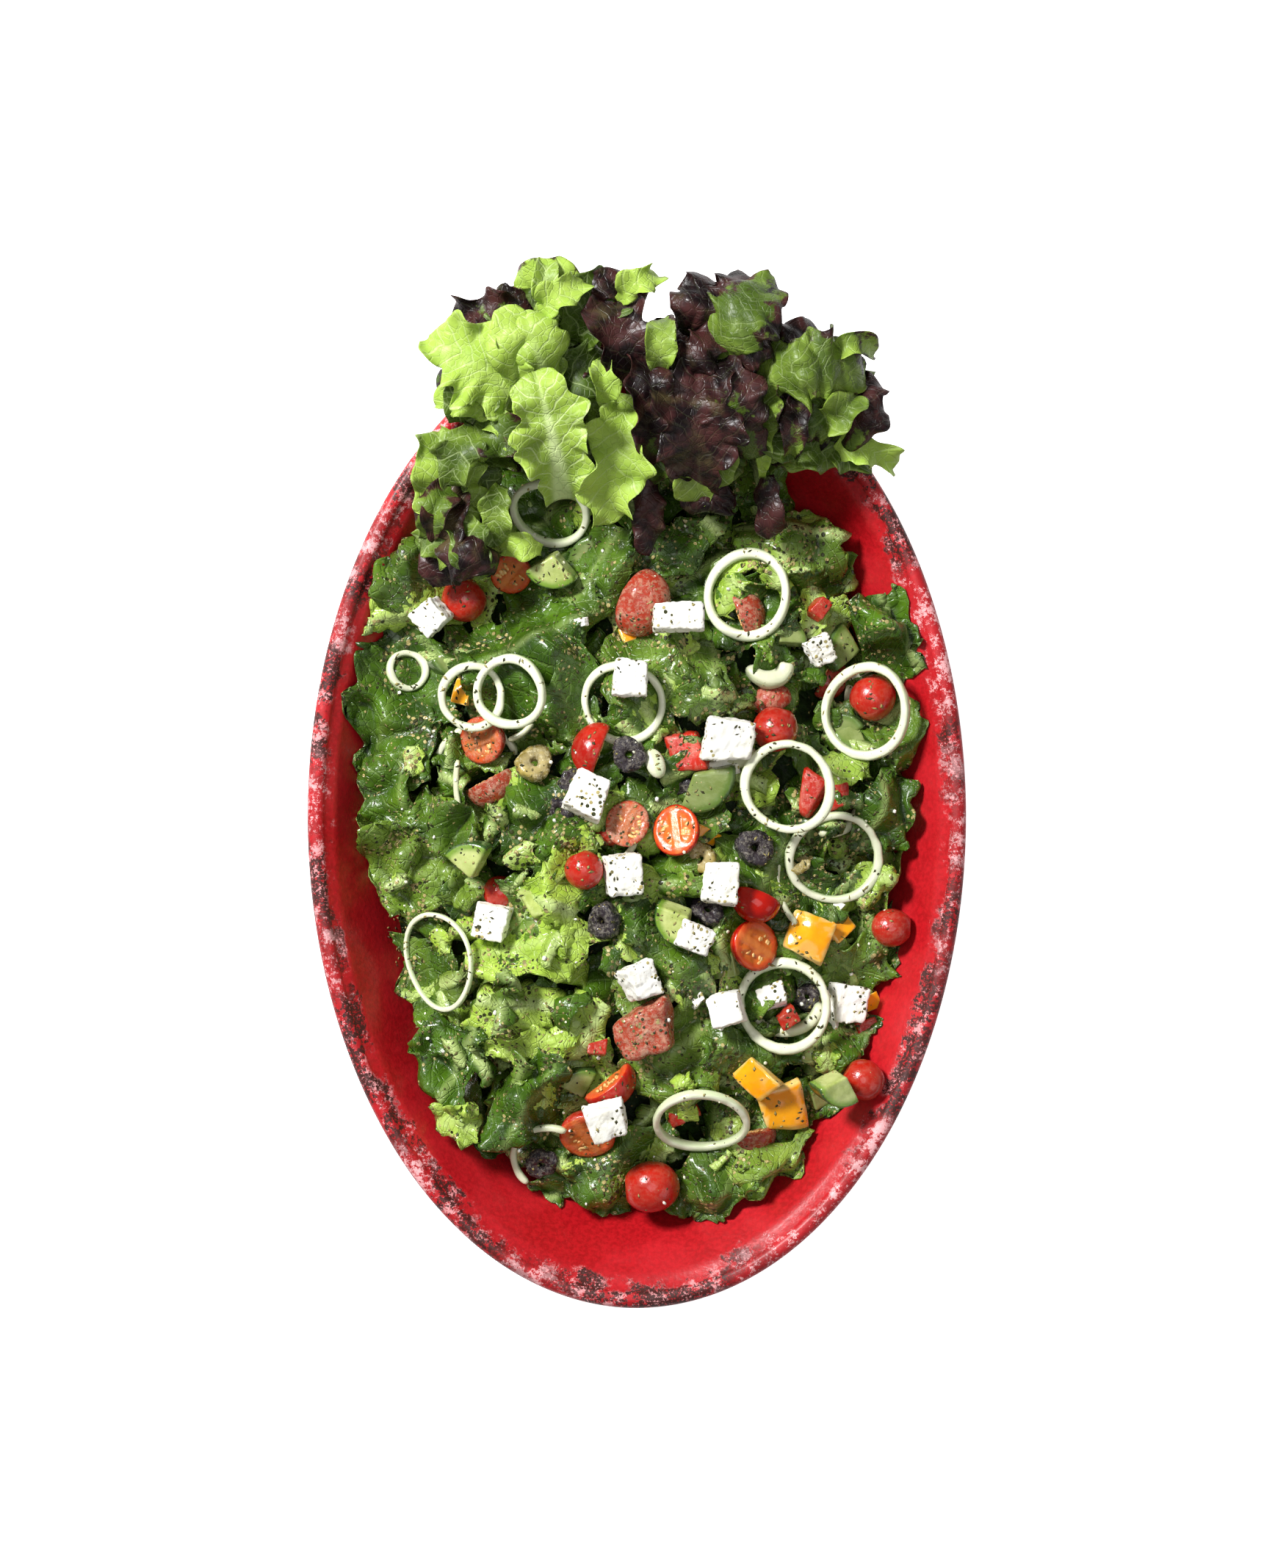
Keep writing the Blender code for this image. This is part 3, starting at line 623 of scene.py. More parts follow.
# x, y, length, width, turn, tone (0 dark .. 1 lime), rib, blister, ruffle, tilt, lean; millimetres and degrees
chosenLeaves = [
    (-106, 46, 66, 44, 75, 0.12, 0.4, 1.1, 0.5, 10, 200), (-46, 66, 62, 58, 25, 0.06, 0.5, 0.9, 0.6, 12, 90),
    (-14, 106, 42, 30, 60, 0.16, 0.5, 1.0, 0.5, 16, 180), (16, 116, 40, 26, 10, 0.12, 0.3, 1.1, 0.4, 10, 90),
    # the leaf at 108, 76 has the darkest tone, partly painted shade where the garnish shades it
    (70, 120, 50, 24, -8, 0.34, 0.9, 0.5, 0.2, 14, 80), (108, 76, 44, 40, -60, 0.0, 0.6, 1.0, 0.9, 24, 20),
    (118, 34, 28, 26, 40, 0.26, 0.3, 0.8, 1.1, 20, 330), (-106, 90, 38, 14, 10, 0.80, 0.8, 0.3, 0.5, 12, 240),
    (-101, 105, 38, 28, 50, 0.25, 0.4, 1.0, 0.7, 14, 160), (4, 66, 50, 40, 70, 0.22, 0.5, 1.0, 0.9, 14, 20),
    (76, 88, 24, 14, 80, 0.66, 1.0, 0.2, 0.1, 12, 20), (-94, -24, 56, 44, 10, 0.32, 0.3, 1.3, 0.9, 12, 180),
    (-40, -4, 44, 36, 75, 0.10, 0.3, 1.2, 0.4, 10, 200), (-30, -19, 34, 12, 48, 0.86, 0.6, 0.4, 0.9, 26, 320),
    (-38, -35, 30, 20, -15, 0.88, 1.0, 0.1, 0.1, 10, 90), (-44, -58, 60, 30, 12, 0.82, 0.6, 0.7, 1.2, 16, 110),
    (-54, -86, 42, 24, -4, 0.86, 1.0, 0.4, 0.2, 10, 270), (-25, -92, 30, 20, 62, 0.84, 1.0, 0.2, 0.2, 14, 200),
    (-52, -100, 50, 14, -6, 0.90, 0.2, 0.5, 1.5, 20, 270), (-82, -108, 46, 34, 65, 0.08, 0.6, 0.9, 0.6, 16, 190),
    (-48, -124, 46, 32, 55, 0.08, 0.5, 0.9, 0.7, 18, 160), (-80, -136, 26, 20, 10, 0.72, 0.6, 0.6, 1.2, 14, 230),
    (19, -105, 50, 40, 40, 0.34, 0.5, 1.1, 0.5, 10, 20), (-14, -154, 48, 28, 70, 0.20, 0.4, 1.1, 0.4, 14, 250),
    (30, -162, 38, 28, 60, 0.14, 0.5, 1.0, 0.5, 14, 280), (62, -154, 40, 30, 20, 0.50, 0.5, 1.2, 1.3, 20, 300),
    (92, -96, 36, 26, -10, 0.12, 0.5, 1.0, 0.5, 16, 340), (99, -66, 34, 26, 30, 0.30, 0.4, 1.0, 0.7, 14, 0),
    (108, 2, 42, 30, 80, 0.10, 0.6, 1.0, 0.6, 24, 350), (104, -29, 20, 14, 60, 0.74, 0.7, 0.2, 0.3, 16, 330),
    (45, -104, 34, 24, 150, 0.16, 0.4, 1.0, 0.6, 14, 60), (18, -62, 36, 26, -30, 0.18, 0.4, 1.0, 0.6, 12, 210),
    (-108, 12, 34, 26, 100, 0.10, 0.5, 1.0, 0.6, 18, 180), (-84, -2, 36, 24, -30, 0.16, 0.3, 1.1, 0.6, 14, 200),
    (-30, 46, 30, 22, 120, 0.10, 0.4, 1.0, 0.5, 14, 300), (26, 58, 34, 26, 90, 0.28, 0.5, 1.0, 0.9, 18, 40),
    (90, 20, 26, 18, 20, 0.55, 0.5, 0.6, 0.7, 14, 60), (58, -20, 30, 24, 60, 0.24, 0.5, 0.9, 0.7, 12, 330),
    (0, -44, 26, 20, 0, 0.10, 0.4, 1.0, 0.5, 12, 120), (-94, -72, 40, 30, 70, 0.20, 0.5, 1.0, 0.8, 12, 180),
]


def makeRomaine():
    draw = np.random.default_rng(41)
    kinds = {name: Batch(name) for name in ("romaine_bed", "romaine_dark", "romaine_bright")}
    specs = []
    rings = ((0.97, 30, 34), (0.84, 26, 36), (0.66, 22, 38), (0.45, 16, 38), (0.22, 8, 36), (0.0, 2, 36))
    for reach, count, size in rings:
        for k in range(count):
            way = 2 * math.pi * (k + draw.uniform(-0.3, 0.3)) / count
            x, y = 0.112 * reach * math.cos(way), 0.172 * reach * math.sin(way)
            size2 = size * draw.uniform(0.75, 1.2) * mm
            tone = float(draw.choice([0.06, 0.14, 0.22, 0.4, 0.7], p=[0.3, 0.28, 0.2, 0.14, 0.08]))
            specs.append((x, y, size2, size2 * draw.uniform(0.55, 0.85), draw.uniform(0, 360), tone, draw.uniform(0.2, 0.9),
                          draw.uniform(0.7, 1.2), draw.uniform(0.3, 1.1), draw.uniform(6, 30), math.degrees(way) + 180 * (draw.random() < 0.4), 0.80))
    for k in range(210):
        if k == 130:
            specs += [(x * mm, y * mm, length * mm, width * mm, *rest, 0.86) for x, y, length, width, *rest in chosenLeaves]
        way, reach = draw.uniform(0, 2 * math.pi), math.sqrt(draw.uniform(0, 1))
        size = (draw.uniform(14, 26) if k < 130 else draw.uniform(9, 18)) * mm
        tone = float(draw.choice([0.02, 0.12, 0.3, 0.6, 0.9], p=[0.26, 0.26, 0.20, 0.16, 0.12]))
        specs.append((0.112 * reach * math.cos(way), 0.170 * reach * math.sin(way), size, size * draw.uniform(0.35, 0.8),
                      draw.uniform(0, 360), tone, draw.uniform(0.0, 1.0), draw.uniform(0.0, 0.6), draw.uniform(0.0, 0.5),
                      draw.uniform(10, 50), draw.uniform(0, 360), 0.80))
    for k, (x, y, length, width, turn, tone, rib, blister, ruffle, tilt, lean, drape) in enumerate(specs):
        bends = draw.uniform((-0.7, -0.3, -0.5, -0.4), (1.1, 0.9, 0.6, 0.4))
        sheet, crest, edge, crease, offset = leafSheet(length, width, 100 + 9 * k, draw.uniform(0.15, 0.9), rib, blister, ruffle, bends)
        tipped = turned(sheet.reshape(-1, 3), tilt, lean, turn).reshape(sheet.shape)
        tipped = settle(tipped, x, y, 0.0012, drape)
        points, quads = shell(tipped, 0.0008 + 0.0016 * crest)
        both = lambda field: np.concatenate([field.ravel(), field.ravel()])
        leafMap = np.stack([both(sheet[..., 0]), both(sheet[..., 1] - offset)], -1) + np.array([k * 0.37 % 3.0, 0.0])
        side = np.concatenate([np.zeros(crest.size), np.ones(crest.size)])
        kind = "romaine_bright" if tone > 0.45 else "romaine_bed" if k < 104 else "romaine_dark"
        kinds[kind].add(points, quads, tone=both(tone + draw.uniform(-0.05, 0.05) + 0.05 * ripples(sheet[..., :2], 0.02, k)), rib=both(crest),
                        crease=both(crease), underside=side, leafMap=leafMap)
    return kinds


def paintRomaine(nodes):
    # from dark glossy green to lime by tone; veins and rib paler; painted shade along the creases; browned dull
    # underside; herbs over all
    tone, rib = nodes.value("tone"), nodes.value("rib")
    leafMap = nodes.put("ShaderNodeUVMap", uv_map="leafMap").outputs[0]
    line = useGroup(nodes, veins, Map=leafMap, Spacing=95.0, Width=0.10)
    dark = useGroup(nodes, mottle, Colour_A=(0.010, 0.038, 0.002), Colour_B=(0.082, 0.180, 0.008), Scale=50.0, Contrast=0.3).outputs[0]
    light = useGroup(nodes, mottle, Colour_A=(0.28, 0.44, 0.030), Colour_B=(0.52, 0.70, 0.12), Scale=45.0, Contrast=0.3).outputs[0]
    body = nodes.mix(nodes.ramp(tone, 0.05, 0.95), dark, light)
    vein = nodes.math("MULTIPLY", line.outputs["Side veins"], 0.34)
    vein = nodes.math("MAXIMUM", vein, nodes.math("MULTIPLY", line.outputs["Net"], 0.10))
    body = nodes.mix(vein, body, nodes.mix(tone, (0.13, 0.23, 0.04), (0.60, 0.72, 0.26)))
    # painted shade in the creases, stronger on the dark leaves
    shade = nodes.math("SUBTRACT", 0.66, nodes.math("MULTIPLY", tone, 0.56))
    body = nodes.mix(nodes.math("MULTIPLY", nodes.value("crease"), shade), body, (0.006, 0.020, 0.002))
    body = nodes.mix(nodes.ramp(rib, 0.25, 0.95), body, (0.46, 0.58, 0.20))
    body = nodes.mix(nodes.math("MULTIPLY", nodes.value("underside"), 0.35), body, (0.22, 0.32, 0.12))
    colour, speck = seasoned(nodes, body, 1.0, 0.06)
    rough = nodes.math("ADD", nodes.math("MULTIPLY", nodes.noise(nodes.place(), 140.0, 3.0), 0.40), 0.12)
    veinRelief = nodes.math("MULTIPLY", line.outputs["Net"], -0.5)
    veinRelief = nodes.math("SUBTRACT", veinRelief, nodes.math("MULTIPLY", line.outputs["Side veins"], 0.8))
    height = nodes.math("ADD", veinRelief, nodes.math("ADD", nodes.noise(nodes.place(), 320.0, 3.0), speck))
    return colour, rough, (height, 0.7, 0.0008)


romaineLook = newMaterial("romaineLeaf", {"Specular IOR Level": 0.38, "Coat Weight": 0.22, "Coat Roughness": 0.14}, paintRomaine)
for batch in makeRomaine().values():
    batch.build(romaineLook, "romaine", [])
print("romaine laid")


# toppings

def cubeSurface(count):
    # the surface of a cube of -1..1, count x count cells a side, each point once and faces outwards
    step = np.arange(count + 1)
    a, b = [line.ravel() for line in np.meshgrid(step, step, indexing="ij")]
    low, high = np.zeros_like(a), np.full_like(a, count)
    sides = [(b, a, high), (a, b, low), (high, b, a), (low, a, b), (a, high, b), (b, low, a)]
    corners = np.concatenate([np.stack(side, 1) for side in sides])
    kept, number = np.unique(corners, axis=0, return_inverse=True)
    quads = gridQuads(count + 1, count + 1)
    faces = number.reshape(-1)[np.concatenate([quads + k * len(a) for k in range(6)])]
    return kept * 2.0 / count - 1, faces


def reachPlane(ways, normal, offset):
    # how soon rays from the middle meet a plane, as one over the way there
    return np.maximum(ways @ unit(np.array(normal, float)), 0) / offset


def reachBall(ways, centre, axes):
    # the same for an ellipsoid round the middle; an endless axis makes it a cylinder
    d, c = ways / axes, np.array(centre) / axes
    square, dot = (d * d).sum(1), d @ c
    return square / (dot + np.sqrt(dot ** 2 + square * (1 - c @ c)) + 1e-9)


def carve(count, sharp, *reaches):
    # a convex solid seen from its middle: along each ray the nearest face counts, and a power mean
    # rubs the edges; also gives each face's share at each point
    cube, faces = cubeSurface(count)
    ways = unit(cube)
    near = np.stack([reach(ways) for reach in reaches]) ** sharp
    total = near.sum(0)
    return ways * total[:, None] ** (-1 / sharp), faces, near / total


def seat(node, pose, points, *riders):
    # posed as the node is, then moved so that the two boxes have the same middle; riders move along
    posed = [turned(part, *pose) for part in (points, *riders)]
    low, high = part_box(node)
    shift = (np.array(low) + np.array(high) - posed[0].min(0) - posed[0].max(0)) / 2
    return [part + shift for part in posed]


def lay(x, y, sunk, pose, points, *riders):
    # set on the leaves at a place, sunk by a share of its height, and kept below what lies over it
    posed = [turned(part, *pose) for part in (points, *riders)]
    body = posed[0] + np.array([x * mm - posed[0][:, 0].mean(), y * mm - posed[0][:, 1].mean(), 0.0])
    where = cellsOf(body)
    low, high = body[:, 2].min(), body[:, 2].max()
    rise = np.quantile(ground[where], 0.75) - low - 0.8 * sunk * (high - low)
    rise = min(rise, np.quantile(roof[where], 0.35) - high + 0.002)
    shift = body[0] - posed[0][0] + np.array([0.0, 0.0, rise])
    laid = [part + shift for part in posed]
    np.maximum.at(ground, cellsOf(laid[0]), laid[0][:, 2])
    return laid


def poseOf(spec, start):
    # tilt, lean and turn from a table row that ends with turn, tilt, lean or with tilt, lean
    return (spec[start + 1], spec[start + 2], spec[start]) if len(spec) - start == 3 else (spec[start], spec[start + 1], 0)


# feta: length, width, height, turn, tilt, lean; millimetres and degrees
feta = {"cells": 18, "edge": 22, "chip": 0.07, "crumb": 0.00028}
fetaCubes = ((14, 13, 13, 40, 16, 210), (22, 12, 11, 3, 8, 90), (15, 16, 13, -4, 4, 120), (21, 18, 15, -5, 10, 300),
             (17, 18, 14, -20, 12, 60), (15, 18, 15, 6, 12, 350), (15, 18, 14, -3, 8, 20), (15, 14, 12, -12, 10, 240),
             (13, 12, 11, -20, 14, 330), (14, 16, 13, 24, 18, 20), (11, 12, 10, 30, 20, 330), (14, 14, 12, 12, 10, 180),
             (15, 16, 13, -8, 14, 330), (17, 15, 12, 16, 22, 280))
# the same after x and y
fetaBits = ((59, -79, 12, 9, 8, 20, 20, 100), (85, -93, 10, 9, 8, 10, 24, 200), (37, 21, 16, 7, 8, 8, 10, 180),
            (26, -80, 6, 5, 5, 40, 20, 60), (-24, 84, 5, 4, 4, 10, 30, 200), (88, -40, 5, 4, 4, 60, 10, 90))


def block(length, width, height, seed, cells, edge, skew=0.07):
    # six planes a little out of square, so a hand-cut block
    draw = np.random.default_rng(seed)
    sides = []
    for axis, size in enumerate((length, width, height)):
        for way in (-1, 1):
            normal = draw.normal(0, skew, 3)
            normal[axis] = way
            sides.append(lambda ways, n=normal, s=size * draw.uniform(0.94, 1.0) / 2 * mm: reachPlane(ways, n, s))
    return carve(cells, edge, *sides)


def fetaBlock(length, width, height, seed):
    points, faces, shares = block(length, width, height, seed, feta["cells"], feta["edge"])
    corner = 1 - smoothStep(shares.max(0), 0.5, 0.98)
    chip = np.clip(ripples(points, 0.0055, seed + 1), 0, 1) * corner
    points = points * (1 - feta["chip"] * chip)[:, None]
    grain = ripples(points, 0.0048, seed + 2) * 1.2 + ripples(points, 0.0016, seed + 3) * 0.5
    pits = np.clip(ripples(points, 0.0026, seed + 4) - 0.9, 0, 1) * 2.2
    return points + unit(points) * (feta["crumb"] * (grain - pits))[:, None], faces


def makeFeta():
    batch = Batch("feta_cubes")
    for k, spec in enumerate(fetaCubes, 1):
        points, faces = fetaBlock(*spec[:3], 300 + 10 * k)
        batch.add(seat(f"feta_{k:02d}", poseOf(spec, 3), points)[0], faces)
    for k, spec in enumerate(fetaBits):
        points, faces = fetaBlock(*spec[2:5], 500 + 10 * k)
        batch.add(lay(spec[0], spec[1], 0.2, poseOf(spec, 5), points)[0], faces)
    return batch


def paintFeta(nodes):
    # chalky white going cream, with pits, and herb flecks in patches
    place = nodes.place()
    body = useGroup(nodes, mottle, Colour_A=(0.96, 0.95, 0.90), Colour_B=(0.90, 0.87, 0.74), Scale=90.0, Contrast=0.22).outputs[0]
    pit = nodes.put("ShaderNodeTexVoronoi", inputs={"Vector": place, "Scale": 520.0}).outputs["Distance"]
    pit = nodes.ramp(pit, 0.26, 0.08)
    pit = nodes.math("MULTIPLY", pit, nodes.ramp(nodes.noise(place, 160.0, 2.0), 0.48, 0.62))
    body = nodes.mix(nodes.math("MULTIPLY", pit, 0.5), body, (0.72, 0.66, 0.48))
    colour, speck = seasoned(nodes, body, 0.85, 0.0)
    height = nodes.math("SUBTRACT", nodes.noise(place, 700.0, 5.0, 0.7), nodes.math("MULTIPLY", pit, 1.5))
    return colour, 0.72, (nodes.math("ADD", height, speck), 0.5, 0.0005)


# onion rings: radius, band, tilt, lean
onionRings = ((18, 3.6, 42, 250), (20, 4.4, 14, 170), (21.5, 4, 30, 185), (9.5, 3, 22, 20), (15, 3.6, 8, 270), (16.5, 3.8, 20, 200),
              (18.5, 3.6, 6, 250), (20.5, 4, 8, 200), (21.5, 3.6, 20, 300), (21, 4.4, 6, 120), (21, 3.6, 48, 268), (22, 2.1, 46, 190))
# arcs and second layers: x, y, radius, band, start, sweep, tilt, lean, sunk
onionArcs = ((-71, 34, 20, 3.4, 20, 150, 12, 250, 0.1), (-4, -6, 18, 2.6, 280, 150, 14, 100, 0.1), (-47, -145, 17, 3.0, 60, 170, 20, 250, 0.3),
             (-78, 12, 40, 2.2, 165, 38, 14, 180, 0.1), (64, -34, 30, 2.8, 165, 60, 12, 200, 0.2), (-48, 40, 17, 2.8, 285, 80, 14, 120, 0.0),
             (58, 62, 12, 7.0, 200, 150, 24, 90, 0.5), (40, 26, 13, 6.0, 200, 140, 18, 250, 0.5), (64, -90, 21, 5.5, 200, 140, 12, 270, 0.2),
             (-89, 56, 15, 2.6, 40, 130, 30, 150, 0.3), (97, 55, 17, 4.0, 100, 120, 26, 190, 0.4), (90, -4, 18, 5.0, 250, 90, 20, 0, 0.6))


def onionBand(radius, band, seed, start=0, sweep=360):
    # a superellipse section carried round an uneven circle; an arc is cut off blunt at both ends
    closed = sweep >= 360
    around, section = (84 if closed else max(16, int(84 * sweep / 360))), 14
    phase = np.random.default_rng(seed).uniform(0, 6, 4)
    a = np.radians(start + np.linspace(0, sweep, around, endpoint=not closed))[:, None]
    b = np.linspace(0, 2 * np.pi, section, endpoint=False)[None, :]
    end = 1 if closed else 1 - 0.45 * np.abs(np.linspace(-1, 1, around)[:, None]) ** 24
    thick = band / 2 * mm * (1 + 0.14 * np.sin(2 * a + phase[0])) * end
    tall = 0.55 * band * mm * (1 + 0.10 * np.sin(3 * a + phase[1])) * end
    middle = (radius - band / 2) * mm * (1 + 0.024 * np.sin(2 * a + phase[2]) + 0.014 * np.sin(3 * a + phase[3]))
    blunt = lambda v: np.sign(v) * np.abs(v) ** 0.72
    out = middle + thick * blunt(np.cos(b))
    z = tall * blunt(np.sin(b)) + 0.0007 * np.sin(2 * a + phase[1])
    points = np.stack([out * np.cos(a), out * np.sin(a), z], -1)
    points += 0.00012 * ripples(points, 0.006, seed + 1)[..., None]
    quads = gridQuads(around, section, closeRows=closed, closeColumns=True)[:, ::-1]
    side = np.broadcast_to(np.abs(np.cos(b)), z.shape)
    ringMap = np.stack([a * radius * mm + 0 * b, side * band * mm + seed * 0.01], -1)
    points, side, ringMap = points.reshape(-1, 3), side.ravel(), ringMap.reshape(-1, 2)
    tris = None
    if not closed:
        row, ends = np.arange(section), [points[:section].mean(0), points[-section:].mean(0)]
        last, count = len(points) - section, len(points)
        tris = np.concatenate([np.stack([np.full(section, count), row, np.roll(row, -1)], 1),
                               np.stack([np.full(section, count + 1), last + np.roll(row, -1), last + row], 1)])
        points, side = np.concatenate([points, ends]), np.concatenate([side, [0, 0]])
        ringMap = np.concatenate([ringMap, ringMap[[0, -1]]])
    return points, quads, tris, side, ringMap


def makeOnion():
    batch = Batch("onion_rings")
    for k, spec in enumerate(onionRings, 1):
        points, quads, tris, side, ringMap = onionBand(spec[0], spec[1], 40 + k)
        batch.add(seat(f"onion_ring_{k:02d}", poseOf(spec, 2), points)[0], quads, tris, side=side, leafMap=ringMap, clear=0.0)
    for k, (x, y, radius, band, start, sweep, tilt, lean, sunk) in enumerate(onionArcs):
        points, quads, tris, side, ringMap = onionBand(radius, band, 80 + k, start, sweep)
        batch.add(lay(x, y, sunk, (tilt, lean, 0), points)[0], quads, tris, side=side, leafMap=ringMap, clear=0.35 + 0.3 * (k % 2))
    points, faces, shares = carve(12, 1, lambda ways: reachBall(ways, (0, 0, 0), np.array([4.2, 6.8, 3.4]) * mm))
    batch.add(lay(8, 23, 0.1, (10, 60, 20), points)[0], faces, side=np.exp(-(points[:, 0] / 0.0022) ** 2), leafMap=points[:, :2], clear=0.1)
    return batch


def paintOnion(nodes):
    # white with fine lines round the ring, greener at its sides; see-through pieces are duller and greyer
    ringMap = nodes.put("ShaderNodeUVMap", uv_map="leafMap").outputs[0]
    stretch = nodes.put("ShaderNodeMapping", inputs={"Vector": ringMap, "Scale": (0.12, 1.0, 1.0)}).outputs[0]
    lines = nodes.ramp(nodes.noise(stretch, 1900.0, 3.0), 0.35, 0.70)
    body = nodes.mix(nodes.math("MULTIPLY", lines, 0.45), (0.84, 0.85, 0.65), (0.66, 0.72, 0.44))
    edge = nodes.math("MULTIPLY", nodes.ramp(nodes.value("side"), 0.45, 0.95), 0.75)
    body = nodes.mix(edge, body, (0.58, 0.68, 0.38))
    patch = nodes.ramp(nodes.noise(nodes.place(), 70.0, 3.0), 0.45, 0.68)
    body = nodes.mix(nodes.math("MULTIPLY", patch, 0.30), body, (0.66, 0.74, 0.46))
    body = nodes.mix(nodes.value("clear"), body, (0.50, 0.50, 0.30))
    colour, speck = seasoned(nodes, body, 0.30, 0.12)
    rough = nodes.math("ADD", nodes.math("MULTIPLY", lines, 0.12), 0.24)
    return colour, rough, (nodes.math("ADD", lines, speck), 0.25, 0.0003)


# tomatoes: cherry radius, length share / half radius, tilt, lean / wedge radius, spread, turn, tilt, lean
tomato = {"long": 1.08, "flat": 0.96, "edge": 26, "cavity": 0.07}
cherries = ((10, 1.0), (10, 1.02), (8.5, 1.0), (9, 1.05), (11.5, 1.1), (10, 1.05))
halves = ((9, 30, 250), (10.5, 24, 150), (11, 34, 0), (10.5, 36, 200), (9.5, 12, 120), (12, 40, 270))
wedges = ((13.5, 70, 66, 20, 200), (10.5, 90, 250, 10, 90), (9.5, 100, 340, 10, 90), (11, 90, 40, 24, 300), (12.5, 150, 20, 12, 270))
halfDressed = (0.1, 0.0, 0.0, 0.5, 0.9, 0.2)
wedgeDressed = (0.75, 0.1, 0.0, 0.1, 0.95)
# more of them among the leaves: x, y, radius, kind, turn, tilt, lean, dressed, sunk
tomatoBits = ((-63, 10, 10.5, "wedge", 30, 24, 240, 1.0, 0.3), (50, 90, 10, "wedge", 110, 14, 30, 0.9, 0.4),
              (59, 52, 8, "wedge", 200, 20, 300, 0.7, 0.4), (51, -145, 10, "wedge", 10, 20, 280, 0.8, 0.4),
              (112, -49, 8.5, "ball", 0, 0, 0, 0.2, 0.4), (75, 161, 6, "ball", 0, 0, 0, 0.1, 0.3),
              (-76, 30, 11, "half", 20, 60, 180, 0.6, 0.3),
              (-60, -33, 7, "ball", 0, 0, 0, 0.1, 0.75), (-12, -6, 7, "ball", 0, 0, 0, 0.6, 0.6), (88, 60, 9, "wedge", 60, 20, 20, 0.2, 0.7))
# dice of red pepper: x, y, length, width, height, turn, tilt, lean
redDice = ((22, 28, 15, 17, 8, 10, 14, 200), (76, 9, 8, 18, 8, -24, 20, 140), (87, 8, 12, 10, 8, 10, 12, 60), (66, -88, 9, 7, 7, 30, 20, 300),
           (20, -130, 14, 9, 8, 20, 20, 290), (80, 91, 9, 7, 7, 50, 20, 10), (101, -94, 9, 8, 7, 20, 16, 350), (-17, -101, 8, 6, 6, 0, 20, 90))


def tomatoBall(radius, share, seed):
    axes = radius * mm * np.array([share, 1.0, tomato["flat"]])
    points, faces, shares = carve(16, 1, lambda ways: reachBall(ways, (0, 0, 0), axes))
    dimple = smoothStep(unit(points)[:, 0], 0.90, 1.0)
    points = points * (1 + 0.014 * ripples(points, radius * 1.3 * mm, seed) - 0.09 * dimple)[:, None]
    return points, faces, 0 * dimple, points[:, :1] * 0


def tomatoCut(radius, seed, spread=None):
    # a ball behind one cut (a half) or two (a wedge); seed cavities are sunk into the cut faces
    size = radius * mm
    if spread is None:
        middle, long = np.array([0, 0, -0.35 * size]), tomato["long"]
        cuts = [(np.array([0, 0, 1.0]), 0.03 * size)]
    else:
        middle, long = np.array([0, -0.35 * size, 0.4 * size]), 1.15
        angle = math.radians(spread)
        cuts = [(np.array([0, -0.035, -0.999]), 0.0), (np.array([0, math.sin(angle), -abs(math.cos(angle))]), 0.25 * size)]
    axes = size * np.array([long, 1.0, tomato["flat"]])
    planes = [lambda ways, n=n, d=d: reachPlane(ways, n, d - n @ middle) for n, d in cuts]
    points, faces, shares = carve(20, tomato["edge"], lambda ways: reachBall(ways, -middle, axes), *planes)
    points = points + middle
    cut = shares[1:].sum(0)
    across = np.hypot(points[:, 1], points[:, 2]) / size
    out = np.hypot(points[:, 0] / size / long, across)
    hollow = smoothStep(across, 0.16, 0.26) * (1 - smoothStep(out, 0.66, 0.76)) * cut
    hollow = hollow * (0.7 + 0.5 * ripples(points, 0.5 * size, seed))
    for (normal, _), share in zip(cuts, shares[1:]):
        points = points - normal * (share * hollow * tomato["cavity"] * size)[:, None]
    points = points * (1 + 0.012 * ripples(points, size, seed + 1) * (1 - cut))[:, None]
    return points, faces, cut, np.stack([points[:, 0] / size / long, across], 1)


def cutSeeds(radius, seed, spread=None):
    # flat seeds of two dozen faces, scattered over the cavities of the cut face that shows
    draw = np.random.default_rng(seed)
    cube, faces = cubeSurface(2)
    grain = unit(cube) * np.array([1.25, 0.75, 0.45]) * mm
    points, quads = [], []
    normal = np.array([0, 0, 1.0]) if spread is None else np.array([0, math.sin(math.radians(spread)), -abs(math.cos(math.radians(spread)))])
    offset = 0.0 if spread is None else 0.25 * radius
    over = unit(np.cross(np.array([1.0, 0, 0]), normal))
    for k in range(14):
        u, v = draw.uniform(-0.55, 0.55), draw.uniform(0.28, 0.60) * (1 if spread else draw.choice([-1, 1]))
        place = (np.array([1.0, 0, 0]) * u + over * v) * radius * mm + normal * (offset - 0.25) * mm
        turn = draw.uniform(-0.6, 0.6)
        frameX = np.array([1.0, 0, 0]) * math.sin(turn) + over * math.cos(turn)
        rows = np.stack([frameX, np.cross(normal, frameX), normal])
        points.append(grain * draw.uniform(0.8, 1.2) @ rows + place)
        quads.append(faces + k * len(grain))
    return np.concatenate(points), np.concatenate(quads)


